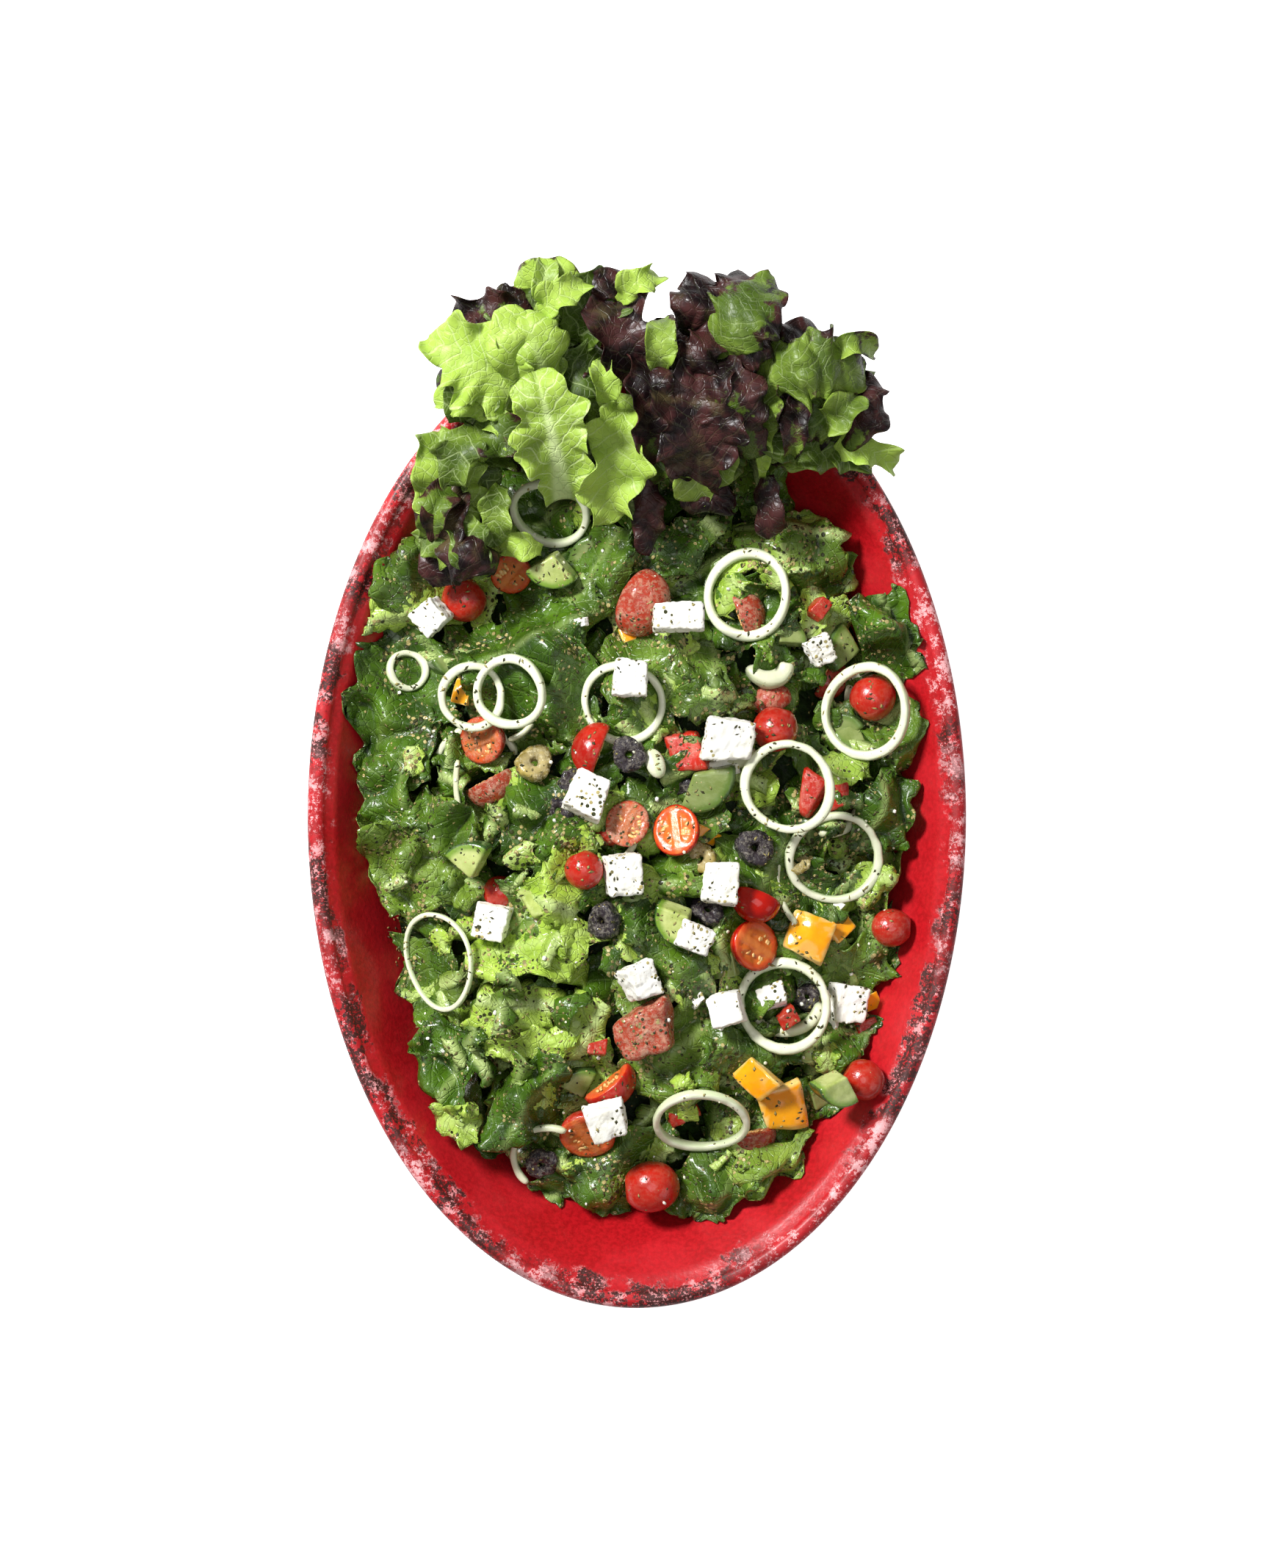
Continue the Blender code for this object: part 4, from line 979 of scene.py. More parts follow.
def makeTomatoes():
    whole, cutOnes, seeds = Batch("whole_tomatoes"), Batch("cut_tomatoes"), Batch("tomato_seeds")
    for k, (radius, share) in enumerate(cherries, 1):
        points, faces, cut, cutMap = tomatoBall(radius, share, 600 + k)
        points = seat(f"cherry_tomato_{k}", (0, 0, 37 * k), points)[0]
        whole.add(points, faces, cut=0.0, dressed=0.12, leafMap=np.ones((len(points), 2)))
    jobs = [(f"tomato_half_{k}", r, None, (tilt, lean, 50 * k), d)
            for k, ((r, tilt, lean), d) in enumerate(zip(halves, halfDressed), 1)]
    jobs += [(f"tomato_wedge_{k}", r, spread, (tilt, lean, turn), d)
             for k, ((r, spread, turn, tilt, lean), d) in enumerate(zip(wedges, wedgeDressed), 1)]
    for k, (node, radius, spread, pose, dressed) in enumerate(jobs):
        points, faces, cut, cutMap = tomatoCut(radius, 640 + k, spread)
        if node == "tomato_wedge_5":
            points, faces, shares = block(24, 21, 18, 644, 24, 6, 0.14)
            points = points * (1 + 0.05 * ripples(points, 0.009, 645))[:, None]
            cut, cutMap = 0.4 * shares[5], np.ones((len(points), 2)) * 0.9
        grains, grainFaces = cutSeeds(radius, 700 + k, spread)
        points, grains = seat(node, pose, points, grains)
        cutOnes.add(points, faces, cut=cut, dressed=dressed, leafMap=cutMap)
        seeds.add(grains, grainFaces)
    for k, (x, y, radius, kind, turn, tilt, lean, dressed, sunk) in enumerate(tomatoBits):
        if kind == "ball":
            points, faces, cut, cutMap = tomatoBall(radius, 1.06, 660 + k)
            points = lay(x, y, sunk, (tilt, lean, turn), points)[0]
            whole.add(points, faces, cut=0.0, dressed=dressed, leafMap=np.ones((len(points), 2)))
            continue
        spread = None if kind == "half" else 80
        points, faces, cut, cutMap = tomatoCut(radius, 660 + k, spread)
        grains, grainFaces = cutSeeds(radius, 720 + k, spread)
        points, grains = lay(x, y, sunk, (tilt, lean, turn), points, grains)
        cutOnes.add(points, faces, cut=cut, dressed=dressed, leafMap=cutMap)
        seeds.add(grains, grainFaces)
    for k, spec in enumerate(redDice):
        points, faces, shares = block(*spec[2:5], 740 + k, 12, 16, 0.14)
        points = points * (1 + 0.03 * ripples(points, 0.005, 760 + k))[:, None]
        cut = 1 - shares[5]
        points = lay(spec[0], spec[1], 0.0, poseOf(spec, 5), points)[0]
        cutOnes.add(points, faces, cut=cut * 0.35, dressed=0.25, leafMap=np.ones((len(points), 2)) * 0.9)
    return whole, cutOnes, seeds


def paintTomato(nodes):
    # glossy skin; on a cut the wall, the wet cavities and the pale core by the cut's own map;
    # dressed ones are dulled by pinkish brown crumbs
    place, cut, dressed = nodes.place(), nodes.value("cut"), nodes.value("dressed")
    skin = useGroup(nodes, mottle, Colour_A=(0.34, 0.004, 0.002), Colour_B=(0.54, 0.013, 0.004), Scale=60.0, Contrast=0.25).outputs[0]
    cutMap = nodes.put("ShaderNodeSeparateXYZ", inputs={0: nodes.put("ShaderNodeUVMap", uv_map="leafMap").outputs[0]})
    along, across = nodes.math("ABSOLUTE", cutMap.outputs["X"]), nodes.math("ABSOLUTE", cutMap.outputs["Y"])
    out = nodes.math("SQRT", nodes.math("ADD", nodes.math("POWER", along, 2.0), nodes.math("POWER", across, 2.0)))
    drift = nodes.math("MULTIPLY", nodes.math("SUBTRACT", nodes.noise(place, 260.0, 3.0), 0.5), 0.25)
    wall = nodes.ramp(nodes.math("ADD", out, drift), 0.62, 0.80)
    core = nodes.math("MULTIPLY", nodes.ramp(nodes.math("ADD", across, drift), 0.22, 0.04), 0.45)
    gel = nodes.mix(nodes.noise(place, 300.0, 4.0), (0.46, 0.05, 0.006), (0.74, 0.22, 0.03))
    flesh = nodes.mix(wall, gel, (0.66, 0.085, 0.016))
    flesh = nodes.mix(core, flesh, (0.80, 0.27, 0.07))
    body = nodes.mix(nodes.ramp(cut, 0.25, 0.75), skin, flesh)
    crumbs = nodes.ramp(nodes.noise(place, 420.0, 5.0, 0.7), 0.44, 0.60)
    crumbs = nodes.math("MULTIPLY", crumbs, dressed)
    body = nodes.mix(nodes.math("MULTIPLY", dressed, 0.55), body, (0.30, 0.075, 0.035))
    body = nodes.mix(nodes.math("MULTIPLY", crumbs, 0.75), body, (0.52, 0.27, 0.17))
    colour, speck = seasoned(nodes, body, nodes.math("ADD", nodes.math("MULTIPLY", dressed, 0.7), 0.15), nodes.math("MULTIPLY", dressed, 0.5))
    rough = nodes.math("ADD", nodes.math("MULTIPLY", crumbs, 0.35), nodes.math("ADD", nodes.math("MULTIPLY", cut, 0.16), 0.13))
    height = nodes.math("MULTIPLY", nodes.noise(place, 420.0, 3.0), nodes.math("ADD", nodes.math("MULTIPLY", cut, 0.7), 0.05))
    height = nodes.math("ADD", height, nodes.math("ADD", crumbs, speck))
    return colour, rough, (height, 0.5, 0.0006)


def paintSeeds(nodes):
    body = useGroup(nodes, mottle, Colour_A=(0.86, 0.55, 0.22), Colour_B=(0.72, 0.34, 0.10), Scale=400.0, Contrast=0.2).outputs[0]
    return body, 0.22, (nodes.noise(nodes.place(), 1500.0, 2.0), 0.2, 0.0002)


# yellow pepper: length, width, turn, tilt, lean, then bits with x, y in front
pepper = {"height": 5.0, "bend": 12.0}
pepperPieces = ((20, 18, -24, 16, 60), (20, 21, 12, 26, 300), (18, 13, -48, 18, 200))
pepperBits = ((-2, 80, 12, 8, 20, 20, 90), (89, -49, 13, 9, 40, 20, 30), (-76, 54, 11, 8, 80, 14, 200), (103, -82, 9, 8, 20, 24, 330),
              (30, -8, 12, 6, -30, 20, 330))


def pepperSlab(length, width, seed):
    # a flat block bowed along its length; skin on the top, paler flesh at the cut sides
    points, faces, shares = block(length, width, pepper["height"], seed, 18, 20, 0.11)
    lift = ripples(points[:, :2], 0.012, seed) * 0.0005
    points[:, 2] += lift - pepper["bend"] * points[:, 0] ** 2
    return points, faces, smoothStep(shares[5], 0.35, 0.8)


def makePeppers():
    batch = Batch("pepper_pieces")
    for k, spec in enumerate(pepperPieces, 1):
        points, faces, skin = pepperSlab(*spec[:2], 800 + k)
        batch.add(seat(f"pepper_{k}", poseOf(spec, 2), points)[0], faces, skin=skin)
    for k, spec in enumerate(pepperBits):
        points, faces, skin = pepperSlab(*spec[2:4], 820 + k)
        batch.add(lay(spec[0], spec[1], 0.0, poseOf(spec, 4), points)[0], faces, skin=skin)
    return batch


def paintPepper(nodes):
    place, skin = nodes.place(), nodes.value("skin")
    top = useGroup(nodes, mottle, Colour_A=(0.80, 0.26, 0.002), Colour_B=(0.92, 0.40, 0.004), Scale=70.0, Contrast=0.25).outputs[0]
    flesh = useGroup(nodes, mottle, Colour_A=(0.90, 0.48, 0.05), Colour_B=(0.94, 0.70, 0.28), Scale=200.0, Contrast=0.2).outputs[0]
    body = nodes.mix(skin, flesh, top)
    colour, speck = seasoned(nodes, body, 0.34, 0.12)
    rough = nodes.math("SUBTRACT", 0.38, nodes.math("MULTIPLY", skin, 0.20))
    return colour, rough, (nodes.math("ADD", nodes.noise(place, 330.0, 3.0), speck), 0.3, 0.0004)


# olives: radius, height, tilt, lean, colour (0 black .. 1 green), then bits with x, y in front
olives = ((8, 9, 12, 30), (7.5, 5, 10, 300), (7.5, 8, 30, 200), (8, 7, 24, 60))
oliveBits = ((31, -41, 7, 6, 24, 90, 0.0), (28, -18, 6.5, 4, 20, 180, 0.75), (22, 9, 7, 5, 20, 220, 0.1), (75, -80, 6, 5, 24, 60, 0.0),
             (-42, -153, 7, 5, 30, 260, 0.0), (-28, 15, 6, 4, 20, 30, 0.1), (-33, 3, 6, 5, 40, 200, 0.35), (70, -20, 6, 4, 30, 90, 0.6))


def oliveSlice(radius, height, seed):
    # a rounded section between the hole and the skin carried round the middle, wrinkled
    a = np.linspace(0, 2 * np.pi, 48, endpoint=False)[:, None]
    b = np.linspace(0, 2 * np.pi, 22, endpoint=False)[None, :]
    blunt = lambda v: np.sign(v) * np.abs(v) ** 0.62
    hole, size = 0.20 * radius * mm, radius * mm
    bulge = 1 - 0.14 * np.abs(np.sin(b)) ** 2
    out = (hole + size) / 2 + (size - hole) / 2 * blunt(np.cos(b)) * np.where(np.cos(b) > 0, bulge, 1.0)
    z = height / 2 * mm * blunt(np.sin(b)) + 0 * a
    out = out * (1 + 0.07 * np.sin(2 * a + seed) + 0.05 * np.sin(3 * a + 2 * seed))
    points = np.stack([out * np.cos(a), out * np.sin(a), z], -1).reshape(-1, 3)
    relief = ripples(points, 0.0045, seed + 2) * 0.00045 + ripples(points, 0.0022, seed) * 0.00022 + ripples(points, 0.0011, seed + 1) * 0.00009
    points = points + unit(points) * relief[:, None]
    inside = np.broadcast_to(smoothStep(-np.cos(b), -0.75, 0.2), z.shape).ravel()
    return points, gridQuads(48, 22, closeRows=True, closeColumns=True)[:, ::-1], inside


def makeOlives():
    dark, green = Batch("black_olives"), Batch("green_olive")
    for k, (radius, height, tilt, lean) in enumerate(olives, 1):
        points, faces, inside = oliveSlice(radius, height, 850 + k)
        batch = green if k == 4 else dark
        batch.add(seat(f"olive_{k}", (tilt, lean, 0), points)[0], faces, inside=inside, green=0.0)
    for k, (x, y, radius, height, tilt, lean, tone) in enumerate(oliveBits):
        points, faces, inside = oliveSlice(radius, height, 870 + k)
        batch = green if tone > 0.5 else dark
        batch.add(lay(x, y, 0.3, (tilt, lean, 0), points)[0], faces, inside=inside, green=tone)
    return dark, green


def paintOlive(dark, pale, film, flesh):
    def paint(nodes):
        # skin dulled by a speckled film, browner flesh round the hole
        place = nodes.place()
        body = useGroup(nodes, mottle, Colour_A=dark, Colour_B=pale, Scale=180.0, Contrast=0.15).outputs[0]
        body = nodes.mix(nodes.math("MULTIPLY", nodes.value("inside"), 0.5), body, flesh)
        dust = nodes.ramp(nodes.noise(place, 650.0, 5.0, 0.7), 0.46, 0.60)
        dust = nodes.math("MULTIPLY", dust, nodes.ramp(nodes.noise(place, 130.0, 2.0), 0.36, 0.56))
        body = nodes.mix(dust, body, film)
        colour, speck = seasoned(nodes, body, 0.35, 0.0)
        rough = nodes.math("ADD", nodes.math("MULTIPLY", dust, 0.4), 0.24)
        return colour, rough, (nodes.math("ADD", dust, nodes.math("ADD", speck, nodes.noise(place, 500.0, 3.0))), 0.6, 0.0005)
    return paint


# cucumber: radius, thickness, start, sweep, tilt, lean
cucumbers = ((15, 12, 210, 100, 18, 240), (18, 7, 250, 120, 14, 250), (15, 12, 160, 100, 20, 240), (14, 12, 200, 100, 26, 330))
cucumberWet = (0.3, 0.9, 0.1, 0.2)
# x, y, radius, thickness, start, sweep, tilt, lean, wet
cucumberBits = ((-42, -37, 17, 12, 20, 100, 12, 90, 0.1), (66, 80, 13, 8, 0, 90, 20, 40, 0.8), (-72, -18, 16, 9, 60, 80, 24, 200, 0.3),
                (-26, -116, 13, 9, 60, 90, 20, 300, 0.6), (54, -24, 12, 8, 300, 110, 26, 60, 0.7), (92, 40, 12, 7, 30, 100, 20, 200, 1.0),
                (-23, 113, 14, 8, 100, 120, 20, 240, 1.0), (90, 74, 15, 8, 120, 100, 20, 20, 0.8), (95, 34, 12, 8, 200, 90, 18, 100, 0.9),
                (80, -124, 10, 7, 20, 90, 30, 320, 0.8), (-82, 66, 12, 7, 200, 120, 24, 20, 0.9), (40, -66, 11, 8, 100, 90, 20, 200, 0.6))


def cucumberChunk(radius, thickness, start, sweep, seed):
    # a sector of a thick slice: two cuts through the core, two flat sides and the round skin
    size, half = radius * mm, math.radians(sweep / 2)
    way = math.radians(start) + half
    middle = np.array([math.cos(way), math.sin(way), 0.0]) * size * 0.52
    first = np.array([math.sin(math.radians(start)), -math.cos(math.radians(start)), 0.0])
    last = np.array([-math.sin(way + half), math.cos(way + half), 0.0])
    pipe = np.array([size, size, np.inf])
    sides = [lambda ways: reachBall(ways, -middle, pipe),
             lambda ways: reachPlane(ways, first, -first @ middle), lambda ways: reachPlane(ways, last, -last @ middle),
             lambda ways: reachPlane(ways, (0.05, 0.03, 1), thickness / 2 * mm), lambda ways: reachPlane(ways, (0.02, -0.05, -1), thickness / 2 * mm)]
    points, faces, shares = carve(15, 22, *sides)
    points = points * (1 + 0.014 * ripples(points, 0.006, seed))[:, None] + middle
    outward = np.hypot(points[:, 0], points[:, 1]) / size
    return points, faces, outward


def makeCucumbers():
    batch = Batch("cucumber_pieces")
    for k, (spec, wet) in enumerate(zip(cucumbers, cucumberWet), 1):
        points, faces, outward = cucumberChunk(*spec[:4], 900 + k)
        batch.add(seat(f"cucumber_{k}", (spec[4], spec[5], 0), points)[0], faces, outward=outward, wet=wet)
    for k, (x, y, radius, thickness, start, sweep, tilt, lean, wet) in enumerate(cucumberBits):
        points, faces, outward = cucumberChunk(radius, thickness, start, sweep, 920 + k)
        batch.add(lay(x, y, 0.38 * wet, (tilt, lean, 0), points)[0], faces, outward=outward, wet=wet)
    return batch


def paintCucumber(nodes):
    # pale flesh, greener towards the dark skin; wet ones are darker all over
    place, outward = nodes.place(), nodes.value("outward")
    flesh = useGroup(nodes, mottle, Colour_A=(0.34, 0.42, 0.08), Colour_B=(0.66, 0.72, 0.28), Scale=110.0, Contrast=0.25).outputs[0]
    drift = nodes.math("MULTIPLY", nodes.math("SUBTRACT", nodes.noise(place, 150.0, 3.0), 0.5), 0.16)
    way = nodes.math("ADD", outward, drift)
    body = nodes.mix(nodes.ramp(way, 0.70, 0.90), flesh, (0.20, 0.34, 0.035))
    body = nodes.mix(nodes.ramp(way, 0.92, 0.98), body, (0.018, 0.065, 0.010))
    body = nodes.mix(nodes.math("MULTIPLY", nodes.value("wet"), 0.75), body, (0.075, 0.125, 0.030))
    colour, speck = seasoned(nodes, body, 0.55, 0.15)
    rough = nodes.math("ADD", nodes.math("MULTIPLY", nodes.noise(place, 160.0, 2.0), 0.3), 0.10)
    return colour, rough, (nodes.math("ADD", nodes.noise(place, 420.0, 3.0), speck), 0.4, 0.0005)


def nodesLike(start):
    return [name for name in nodeNames if name.startswith(start)]


tomatoLook = newMaterial("tomatoSkin", {"Specular IOR Level": 0.5, "Coat Weight": 0.35, "Coat Roughness": 0.06}, paintTomato)
wholeBatch, cutBatch, seedBatch = makeTomatoes()
wholeBatch.build(tomatoLook, "tomato", nodesLike("cherry_tomato"))
cutLook = newMaterial("tomatoCut", {"Specular IOR Level": 0.4, "Coat Weight": 0.08, "Coat Roughness": 0.2}, paintTomato)
cutBatch.build(cutLook, "tomato", nodesLike("tomato_"))
seedBatch.build(newMaterial("tomatoSeed", {}, paintSeeds), "tomato")
pepperLook = newMaterial("pepperSkin", {"Coat Weight": 0.3, "Coat Roughness": 0.08}, paintPepper)
makePeppers().build(pepperLook, "yellow_pepper", nodesLike("pepper_"))
cucumberLook = newMaterial("cucumberFlesh", {"Coat Weight": 0.2, "Coat Roughness": 0.1}, paintCucumber)
makeCucumbers().build(cucumberLook, "cucumber", nodesLike("cucumber_"))
blackOlives, greenOlive = makeOlives()
blackLook = newMaterial("blackOlive", {}, paintOlive((0.010, 0.008, 0.014), (0.035, 0.028, 0.034), (0.17, 0.15, 0.125), (0.030, 0.018, 0.020)))
greenLook = newMaterial("greenOlive", {}, paintOlive((0.17, 0.12, 0.02), (0.42, 0.32, 0.08), (0.62, 0.54, 0.30), (0.50, 0.42, 0.22)))
blackOlives.build(blackLook, "black_olive", ["olive_1", "olive_2", "olive_3"])
greenOlive.build(greenLook, "green_olive", ["olive_4"])
fetaLook = newMaterial("fetaCheese", {"Specular IOR Level": 0.3}, paintFeta)
makeFeta().build(fetaLook, "feta", nodesLike("feta_"))
makeOnion().build(newMaterial("whiteOnion", {"Coat Weight": 0.15, "Coat Roughness": 0.12}, paintOnion), "onion", nodesLike("onion_ring"))
print("toppings seated")


# dried herbs, crumbs and drops of dressing on everything

herbs = {"flakes": 5200, "drops": 200, "crumbs": 110, "reach": (0.116, 0.176)}


def surfaceBelow(places, pieces):
    # where a plumb line through each place first meets the pieces, and the slope there
    points, faces, count = [], [], 0
    for piece in pieces:
        mesh = piece.data
        values = np.empty(len(mesh.vertices) * 3, np.float32)
        mesh.vertices.foreach_get("co", values)
        corners = np.empty(len(mesh.loops), np.int32)
        mesh.loops.foreach_get("vertex_index", corners)
        points.append(values.reshape(-1, 3))
        faces += np.split(corners + count, np.array([p.loop_start for p in mesh.polygons])[1:])
        count += len(mesh.vertices)
    tree = BVHTree.FromPolygons(np.concatenate(points).tolist(), [face.tolist() for face in faces])
    found = [tree.ray_cast(Vector((x, y, 0.3)), Vector((0, 0, -1))) for x, y in places]
    return [(np.array(spot), np.array(normal)) for spot, normal, index, way in found if spot is not None and normal.z > 0.15]


def scatterPlaces(count, seed, patch):
    # places over the heap, kept more often where a slow ripple is high
    draw = np.random.default_rng(seed)
    way, reach = draw.uniform(0, 2 * np.pi, count), np.sqrt(draw.uniform(0, 1, count))
    places = np.stack([herbs["reach"][0] * reach * np.cos(way), herbs["reach"][1] * reach * np.sin(way)], 1)
    keep = draw.uniform(0, 1, count) < 0.5 + patch * ripples(places, 0.05, seed + 1)
    return places[keep]


def makeHerbs(pieces):
    # flat eight-sided flakes lying on the slope; round drops and small crumbs are made the same way
    flakeShape = np.array([(1, 0, 0), (-1, 0, 0), (0, 1, 0), (0, -1, 0), (0, 0, 1), (0, 0, -1)], float)
    flakeFaces = np.array([(0, 2, 4), (2, 1, 4), (1, 3, 4), (3, 0, 4), (2, 0, 5), (1, 2, 5), (3, 1, 5), (0, 3, 5)])
    dropShape, dropFaces = cubeSurface(3)
    dropShape = unit(dropShape)
    draw = np.random.default_rng(77)
    flakes, drops, crumbs = Batch("herb_flakes"), Batch("dressing_drops"), Batch("feta_crumbs")
    kinds = ((flakes, herbs["flakes"], 5, 0.55, flakeShape, None, flakeFaces), (drops, herbs["drops"], 15, 0.5, dropShape, dropFaces, None),
             (crumbs, herbs["crumbs"], 25, 0.2, dropShape, dropFaces, None))
    for batch, count, seed, patch, shape, quads, tris in kinds:
        for spot, normal in surfaceBelow(scatterPlaces(count, seed, patch), pieces):
            turn = draw.uniform(0, 2 * math.pi)
            side = unit(np.cross(normal, np.array([math.cos(turn), math.sin(turn), 0.1])))
            rows = np.stack([side, np.cross(normal, side), unit(normal + draw.normal(0, 0.25, 3) * (quads is None))])
            size = draw.uniform((0.50, 0.28, 0.12), (1.45, 0.75, 0.30))
            if batch is drops:
                size = np.array([1.0, draw.uniform(0.7, 1.0), 0.45]) * draw.uniform(0.35, 0.9)
            if batch is crumbs:
                size = draw.uniform(0.5, 1.0, 3) * draw.uniform(0.5, 1.3)
            body = shape * size * mm
            if quads is None or batch is crumbs:
                body = body + draw.normal(0, 0.10, shape.shape) * size * mm
            batch.add(body @ rows + spot + normal * size[2] * 0.5 * mm, quads, tris, shade=draw.uniform(0, 1))
    return flakes, drops, crumbs


def paintHerbs(nodes):
    shade = nodes.value("shade")
    body = nodes.mix(nodes.ramp(shade, 0.40, 0.70), (0.026, 0.028, 0.007), (0.42, 0.35, 0.12))
    grain = nodes.math("MULTIPLY", nodes.noise(nodes.place(), 500.0, 3.0), 0.6)
    body = nodes.mix(grain, body, (0.10, 0.095, 0.020))
    return body, 0.75, (nodes.noise(nodes.place(), 2400.0, 2.0), 0.4, 0.0002)


def paintDressing(nodes):
    body = nodes.mix(nodes.noise(nodes.place(), 300.0, 3.0), (0.70, 0.70, 0.48), (0.82, 0.82, 0.68))
    return body, 0.12, (nodes.noise(nodes.place(), 900.0, 2.0), 0.1, 0.0002)


covered = [piece for piece in bpy.context.scene.objects if piece.name in pieceNames]
flakes, drops, crumbs = makeHerbs(covered)
flakes.build(newMaterial("driedHerb", {}, paintHerbs), "romaine")
drops.build(newMaterial("dressing", {"Specular IOR Level": 0.6}, paintDressing), "romaine")
crumbs.build(fetaLook, "feta")
print("herbs scattered")


# lettuce garnish at the far end

# base, middle and tip, then half width, bend across in radians (up positive), roll in degrees, frill and
# lobes in millimetres and shares, tone (0 dark .. 1 lime), purple, pale rib; millimetres
greenGarnish = (
    ((-32, 138, 116), (-36, 162, 144), (-43, 188, 146), 15.5, 0.9, 0, 3.6, 0.6, 0.62, 0.0, 1.0),
    ((-49, 172, 118), (-64, 190, 137), (-88, 205, 130), 15, 0.7, 10, 5.0, 0.9, 0.95, 0.0, 0.5),
    ((-38, 186, 132), (-43, 200, 148), (-47, 213, 142), 14, -0.9, 8, 1.5, 0.3, 0.80, 0.0, 0.6),
    ((-50, 184, 132), (-54, 200, 149), (-51, 217, 145), 9, -0.7, -10, 1.2, 0.2, 0.92, 0.0, 0.4),
    ((-22, 225, 122), (-36, 231, 136), (-52, 229, 126), 7, -0.5, 12, 2.2, 0.4, 0.82, 0.35, 0.2),
    ((-37, 212, 128), (-39, 225, 139), (-38, 237, 131), 5.5, 0.9, 0, 1.0, 0.1, 0.45, 0.0, 0.8),
    ((-42, 213, 136), (-34, 220, 149), (-23, 227, 140), 6.5, 0.8, 0, 2.2, 0.5, 0.96, 0.0, 0.3),
    ((-26, 204, 128), (-20, 216, 139), (-13, 229, 130), 13, 0.7, -8, 2.6, 0.7, 0.14, 0.15, 0.2),
    ((-8, 219, 136), (0, 226, 147), (8, 230, 138), 5.5, 0.6, 0, 3.2, 0.8, 0.95, 0.0, 0.1),
    ((-13, 175, 130), (-14, 185, 141), (-15, 194, 134), 5.5, 0.8, 0, 2.8, 0.7, 0.90, 0.0, 0.1),
    ((-5, 181, 124), (-9, 155, 131), (-13, 127, 114), 13, 0.9, 6, 4.2, 0.8, 0.80, 0.0, 0.3),
    ((-47, 160, 118), (-56, 167, 129), (-65, 172, 120), 6.5, 0.8, 0, 2.6, 0.6, 0.90, 0.0, 0.2),
    ((-51, 172, 116), (-68, 179, 127), (-85, 178, 114), 7.5, 0.6, 0, 3.0, 0.7, 0.84, 0.0, 0.2),
    ((-58, 142, 116), (-61, 131, 121), (-62, 118, 112), 6.5, 0.5, 0, 2.2, 0.6, 0.30, 0.0, 0.2),
    ((-42, 116, 108), (-50, 117, 114), (-59, 115, 108), 5.5, 0.6, 0, 2.0, 0.5, 0.88, 0.0, 0.2),
    ((-44, 211, 120), (-60, 217, 130), (-78, 214, 118), 8, 0.7, 0, 4.2, 0.7, 0.20, 0.62, 0.1),
    ((-30, 219, 126), (-15, 226, 138), (3, 222, 128), 7, -0.6, 0, 2.8, 0.5, 0.30, 0.85, 0.1),
)
redGarnish = (
    ((-2, 187, 130), (-6, 204, 143), (-10, 221, 134), 14, 0.8, -6, 3.2, 0.8, 0.20, 0.85, 0.2),
    ((22, 206, 134), (27, 218, 147), (32, 228, 134), 12, -0.5, 0, 3.0, 0.7, 0.20, 1.0, 0.1),
    ((36, 211, 134), (41, 222, 145), (44, 232, 130), 10, -0.5, 0, 2.6, 0.6, 0.20, 0.85, 0.1),
    ((29, 196, 130), (43, 211, 155), (57, 229, 137), 15, -0.6, 14, 2.2, 0.4, 0.24, 0.42, 0.3),
    ((34, 195, 128), (46, 199, 150), (59, 202, 134), 10, -0.6, 0, 2.6, 0.5, 0.30, 0.72, 0.2),
    ((16, 187, 134), (26, 196, 149), (36, 207, 138), 9, -0.6, 0, 2.8, 0.5, 0.20, 0.92, 0.1),
    ((10, 188, 136), (10, 200, 152), (11, 211, 142), 6.5, 0.8, 0, 1.8, 0.3, 0.40, 0.35, 0.4),
    ((8, 152, 122), (6, 176, 144), (5, 198, 136), 10.5, 0.9, -12, 3.2, 0.8, 0.20, 0.88, 0.2),
    ((27, 141, 119), (26, 166, 143), (25, 190, 140), 17, 0.7, 0, 3.2, 0.7, 0.15, 1.0, 0.3),
    ((50, 154, 130), (41, 174, 149), (34, 194, 140), 13, -0.5, 16, 2.8, 0.6, 0.25, 0.68, 0.3),
    ((54, 161, 128), (54, 175, 142), (54, 188, 132), 7.5, 0.8, 0, 2.2, 0.6, 0.30, 0.40, 0.3),
    ((6, 152, 120), (5, 134, 118), (4, 114, 109), 7, -0.7, 20, 2.2, 0.5, 0.25, 0.80, 0.1),
    ((56, 147, 118), (57, 134, 116), (57, 121, 108), 7, -0.7, -20, 2.2, 0.5, 0.25, 0.80, 0.1),
    ((18, 148, 114), (28, 140, 118), (38, 134, 110), 8, -0.6, 0, 3.0, 0.7, 0.15, 0.95, 0.1),
)
